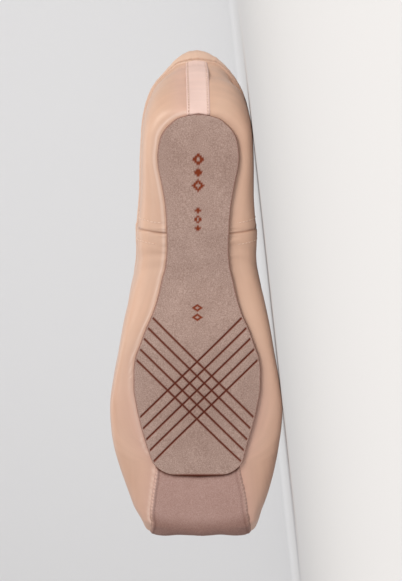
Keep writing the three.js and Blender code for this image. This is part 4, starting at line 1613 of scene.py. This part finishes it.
@dataclass
class SeamStitches:
    """The topstitching either side of both side seams, laid on the upper by rays square to the shoe's length.

    Attributes:
        builder: puts grids into the scene.
        reach: how far up the wall the rows go.
        count: the number of points of each row.
        pitch: the length of a stitch and the hole after it.
    """

    builder: Builder
    reach: float = 30.0
    count: int = 90
    pitch: float = 1.8

    def build(self) -> bpy.types.Object:
        """Makes the four rows as one piece."""
        last = self.builder.last
        upper = Upper(self.builder)
        seams = []
        for side in Side:
            for offset in last.topstitches:
                x = last.seam_place(np.linspace(0, self.reach, self.count)) + offset
                radius, height = last.profile(last.side_stations(x), np.linspace(0.02, 1.25, self.count))
                line = np.stack([x, side.value * radius, last.bottom(x) + height], axis=-1)
                way = np.gradient(line, axis=0)
                normal = unit(np.cross(way, np.array([side.value * -1.0, 0.0, 0.0])))
                agrees = np.sum(normal * np.array([0, side.value, 0.05]), axis=-1, keepdims=True)
                normal = normal * np.sign(agrees)
                far_down = np.full(self.count, 40.0)
                lift = upper.relief(line, normal, running_length(line), far_down) + 0.16
                seams.append((line + normal * lift[:, None], normal))
        return Stitches(self.builder, "side_seam_stitches", seams, self.pitch).build()


@dataclass
class CollarBinding:
    """The satin casing folded over the collar's edge, with the drawstring's channel puffed up inside it.

    Attributes:
        builder: puts grids into the scene.
        width: how far it reaches down the wall.
        thickness: how far it stands off the wall.
        channel_at: how far down from the edge the drawstring's channel is.
        channel_puff: how far the channel stands out.
        stitches_at: how far down from the edge its stitches are.
        count: the number of points round the collar.
    """

    builder: Builder
    width: float = 7.0
    thickness: float = 0.75
    channel_at: float = 2.6
    channel_puff: float = 0.35
    stitches_at: float = 5.7
    count: int = 420

    def collar(self) -> tuple[Array, Array]:
        """The collar's edge on the last, evenly spaced, once round from the heel along the left side.

        Returns:
            The points and the places on the shoe's axis that their blades start from.
        """
        last = self.builder.last
        heel = last.heel_stations(last.heel_turns[0][np.linspace(0, 1499, 60).astype(int)])
        height = last.collar_height(last.heel_depth + heel.along * heel.reach)
        radius = last.radius(heel, height - last.bottom_height)
        back = np.stack([heel.axis + heel.along * radius, heel.across * radius, height], axis=-1)
        x = np.linspace(last.heel_depth, last.throat_end, 120)[1:]
        s = last.side_stations(x)
        height = last.collar_height(x)
        side = np.stack([x, last.radius(s, height - last.bottom(x)), height], axis=-1)
        x = mix(last.throat_end, last.throat_at, np.sin(np.linspace(0, np.pi / 2, 160)))[1:]
        front = np.stack([x, last.throat_half(x), last.top_height(x)], axis=-1)
        left = np.concatenate([back, side, front])
        axis = np.concatenate([np.full(60, last.heel_depth), side[:, 0], front[:, 0]])
        line = np.concatenate([left, left[-2:0:-1] * np.array([1, -1, 1])])
        axis = np.concatenate([axis, axis[-2:0:-1]])
        closed = np.concatenate([line, line[:1]])
        run = running_length(closed)
        at = np.linspace(0, run[-1], self.count, endpoint=False)
        return at_lengths(closed, run, at), np.interp(at, run, np.append(axis, axis[0]))

    def build(self) -> list[bpy.types.Object]:
        """Makes the casing as a closed tube round the wall's edge, and the stitches along its lower edge."""
        last = self.builder.last
        line, axis = self.collar()
        forward = smooth_step((axis - last.heel_depth) / (last.throat_at - last.heel_depth))
        core_z = mix(last.collar_height(np.array(last.heel_depth)), 0.5 * last.crown_height, forward)
        core = np.stack([axis, np.zeros_like(axis), core_z], axis=-1)
        outward = unit(line - core)
        tangent = np.roll(line, -1, axis=0) - np.roll(line, 1, axis=0)
        down = unit(np.cross(outward, tangent))
        margin = np.linspace(0, self.width, 15)
        run = running_length(np.concatenate([line, line[:1]]))
        back = np.minimum(run[:-1], run[-1] - run[:-1])
        run = run[:-1]
        wide = 1 + 0.28 * bump(back, 0, 9, 4)
        aim = line[None] + margin[:, None, None] * wide[:, None] * down[None]
        base = last.cast(np.broadcast_to(core[None], aim.shape), unit(aim - core))
        n = ring_normals(base, outward[None])
        behind, front = bump(back, 0, 26)[None], bump(axis, last.throat_at, 14)[None]
        gather = (0.06 + 0.12 * front + 0.1 * behind) * ripple(run, 11, (3.1, 4.4, 6.7))[None]
        m = margin[:, None]
        puff = self.channel_puff * bump(m, self.channel_at, 1.7) - 0.3 * bump(m, self.stitches_at, 0.45)
        rim = 1 - bump(self.width - m, 0, 0.35)
        stand = last.layer(base[..., 0], n[..., 2]) + 0.02 + self.thickness * rim + puff + gather
        outer = base + n * stand[..., None]
        wall = last.wall(base[..., 0])
        inner = base - n * (wall + self.thickness * rim + 0.3 * puff + 0.5 * gather)[..., None]
        fold_at = np.linspace(0, np.pi, 9)[1:-1][:, None, None]
        middle, half = (outer[0] + inner[0]) / 2, (outer[0] - inner[0]) / 2
        fold = middle + half * np.cos(fold_at) - down * (1.2 + gather[0][:, None]) * np.sin(fold_at)
        inside = base[::-1] - n[::-1] * (wall[::-1] * 0.5)[..., None]
        ring = np.concatenate([outer[::-1], fold, inner, inside[:1]])
        faces = sheet_faces(len(ring), self.count, 0, True)
        last_row = (len(ring) - 1) * self.count
        here = np.arange(self.count)
        after = (here + 1) % self.count
        closing = np.stack([last_row + here, last_row + after, after, here], axis=-1)
        cloth = np.stack(np.broadcast_arrays(run[None], running_length(ring[:, 0])[:, None]), axis=-1)
        # Painted shade in the stitch groove and along the binding's lower edge.
        groove = 0.5 * bump(margin, self.stitches_at, 0.4) + 0.35 * bump(margin, self.width, 0.3)
        soil = np.concatenate([groove[::-1], np.zeros(len(fold)), groove, [0.0]])
        obj = self.builder.piece(
            "satin_collar_binding",
            ring,
            np.concatenate([faces, closing]).tolist(),
            cloth,
            {"soil": np.repeat(soil, self.count)},
        )
        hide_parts("collar_binding")
        dress(obj, BINDING)
        row = int(np.argmin(np.abs(margin - self.stitches_at)))
        seam = np.concatenate([outer[row], outer[row, :1]]), np.concatenate([n[row], n[row, :1]])
        return [obj, Stitches(self.builder, "collar_stitches", [seam], 2.2, finish=DYED_THREAD).build()]


def aimed(name: str, data: Any, at: Array, axes: tuple[Array, Array, Array]) -> bpy.types.Object:
    """Puts a camera or light into the scene.

    Args:
        name: the object's name.
        data: the camera or light.
        at: its place in metres.
        axes: its right and up, and the way back from what it looks at.

    Returns:
        The object.
    """
    made = bpy.data.objects.new(name, data)
    turned = Matrix(np.stack(axes, axis=1).tolist()).to_4x4()
    made.matrix_world = Matrix.Translation(at.tolist()) @ turned
    bpy.context.scene.collection.objects.link(made)
    return made


@dataclass
class Studio:
    """The pale sweep, the soft lights and the camera.

    Attributes:
        frame: the shoe's frame.
        tilt: how far the view leans from square to the sole, in degrees.
        lift: how far it is turned about the shoe's length, in degrees, so that the camera stays over the floor.
        target: the point of the shoe's axis that the camera looks at, in millimetres from the heel.
        distance: how far the camera is from it, in metres.
        focal: the focal length in pixels of the 402 by 581 picture.
        pixel: where that point is in the picture.
        picture: the picture's width and height in pixels.
    """

    frame: ShoeFrame
    tilt: float = 11.0
    lift: float = 1.6
    target: float = 118.0
    distance: float = 1.2
    focal: float = 2454.0
    pixel: tuple[float, float] = (197.5, 302.3)
    picture: tuple[float, float] = (402.0, 581.0)

    def view(self) -> tuple[Array, Array, Array]:
        """The picture's right and up and the way towards the camera, as scene directions."""
        x, y, z = self.frame.axes
        a = np.radians(self.tilt)
        back = unit(np.tan(np.radians(self.lift)) * y - np.sin(a) * x - np.cos(a) * z)
        up = np.sin(a) * z - np.cos(a) * x
        return np.cross(up, back), up, back

    def camera(self) -> bpy.types.Object:
        """Makes the camera, shifted so that its target falls on its pixel."""
        axes = self.view()
        at = self.frame.place(np.array([self.target, 0.0, 0.0])) + axes[2] * self.distance
        data = bpy.data.cameras.new("camera")
        data.sensor_width = 36.0
        data.lens = self.focal / self.picture[1] * data.sensor_width
        data.shift_x = (self.picture[0] / 2 - self.pixel[0]) / self.picture[1]
        data.shift_y = (self.pixel[1] - self.picture[1] / 2) / self.picture[1]
        data.clip_start = 0.05
        data.clip_end = 20.0
        made = aimed("camera", data, at, axes)
        bpy.context.scene.camera = made
        return made

    def sweep(self) -> bpy.types.Object:
        """Makes the floor, which turns up far behind the shoe in a quarter circle of 0.6 m."""
        front, turn, radius, high, wide = -2.6, 2.0, 0.6, 3.6, 3.6
        flat = np.linspace(front, turn, 12)
        a = np.linspace(0, np.pi / 2, 24)[1:]
        y = np.concatenate([flat, turn + radius * np.sin(a), [turn + radius]])
        z = np.concatenate([np.zeros_like(flat), radius * (1 - np.cos(a)), [high]])
        x = np.linspace(-wide, wide, 9)
        grid = np.stack(np.broadcast_arrays(x[None], y[:, None], z[:, None]), axis=-1)
        mesh = bpy.data.meshes.new("sweep")
        mesh.from_pydata(grid.reshape(-1, 3).tolist(), [], sheet_faces(len(y), len(x)).tolist())
        made = smooth_object("sweep", mesh)
        material, tree = empty_material("matt white paper")
        place = add_node(tree, "TexCoord").outputs["Object"]
        fibre = add_node(tree, "TexNoise", Vector=place, Scale=per_mm(2.5), Detail=2.0).outputs["Fac"]
        relief = add_node(tree, "Bump", Strength=0.05, Distance=0.2 * MM, Height=fibre).outputs["Normal"]
        paper = add_node(
            tree,
            "BsdfPrincipled",
            Base_Color=linear("#d6d6d7"),
            Roughness=0.9,
            IOR=1.45,
            Specular_IOR_Level=0.0,
            Normal=relief,
        )
        add_node(tree, "OutputMaterial", Surface=paper.outputs["BSDF"])
        mesh.materials.append(material)
        return made

    def light(
        self,
        name: str,
        at: tuple[float, float, float],
        size: float,
        power: float,
        colour: str,
        aim: tuple[float, float, float] = (0.0, 0.0, 0.04),
    ) -> None:
        """Adds a square area light that looks at the shoe, or at another place.

        Args:
            name: the light's name.
            at: its place in metres.
            size: its side in metres.
            power: its power in watts.
            colour: its hex colour.
            aim: the place that it looks at, in metres.
        """
        data = bpy.data.lights.new(name, "AREA")
        data.shape = "SQUARE"
        data.size = size
        data.energy = power
        data.color = linear(colour)[:3]
        back = unit(np.array(at) - np.array(aim))
        side = unit(np.cross(np.array([0.0, 1.0, 0.02]), back))
        aimed(name, data, np.array(at), (side, np.cross(back, side), back))

    def build(self) -> None:
        """Makes the camera, the sweep, the world and the lights."""
        self.camera()
        self.sweep()
        world = bpy.data.worlds.new("studio")
        bpy.context.scene.world = world
        world.use_nodes = True
        background = world.node_tree.nodes["Background"].inputs
        background["Color"].default_value = linear("#f6f4f4")
        background["Strength"].default_value = 0.46
        self.light("key", (1.15, -1.4, 0.9), 0.9, 25.5, "#fffaf2")
        self.light("front", (-0.3, -2.0, 0.6), 1.2, 6.0, "#fdfbff")
        self.light("wall", (0.0, 0.9, 2.2), 1.8, 36.0, "#ffffff", (0.0, 2.6, 0.9))


def dress_insole(frame: dict[str, Any]) -> None:
    """Gives the insole, which stays as the solid that it is, its sock cloth."""
    dress(frame["nodes"]["insole"], SOCK)


def main() -> None:
    """Builds the shoe's pieces in the order that they are put together, and the studio round it."""
    logging.basicConfig(level=logging.INFO, format="%(name)s: %(message)s")
    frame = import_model()
    bpy.context.scene.view_settings.view_transform = "Standard"
    builder = Builder(ShoeFrame.from_record(frame["record"]), Last())
    Studio(builder.frame).build()
    steps: tuple[Callable[[], Any], ...] = (
        Upper(builder).build,
        SeamStitches(builder).build,
        BackStrip(builder).build,
        CollarBinding(builder).build,
        ToePatch(builder).build,
        Outsole(builder).build,
    )
    for step in steps:
        step()
    dress_insole(frame)


if __name__ == "__main__":
    main()
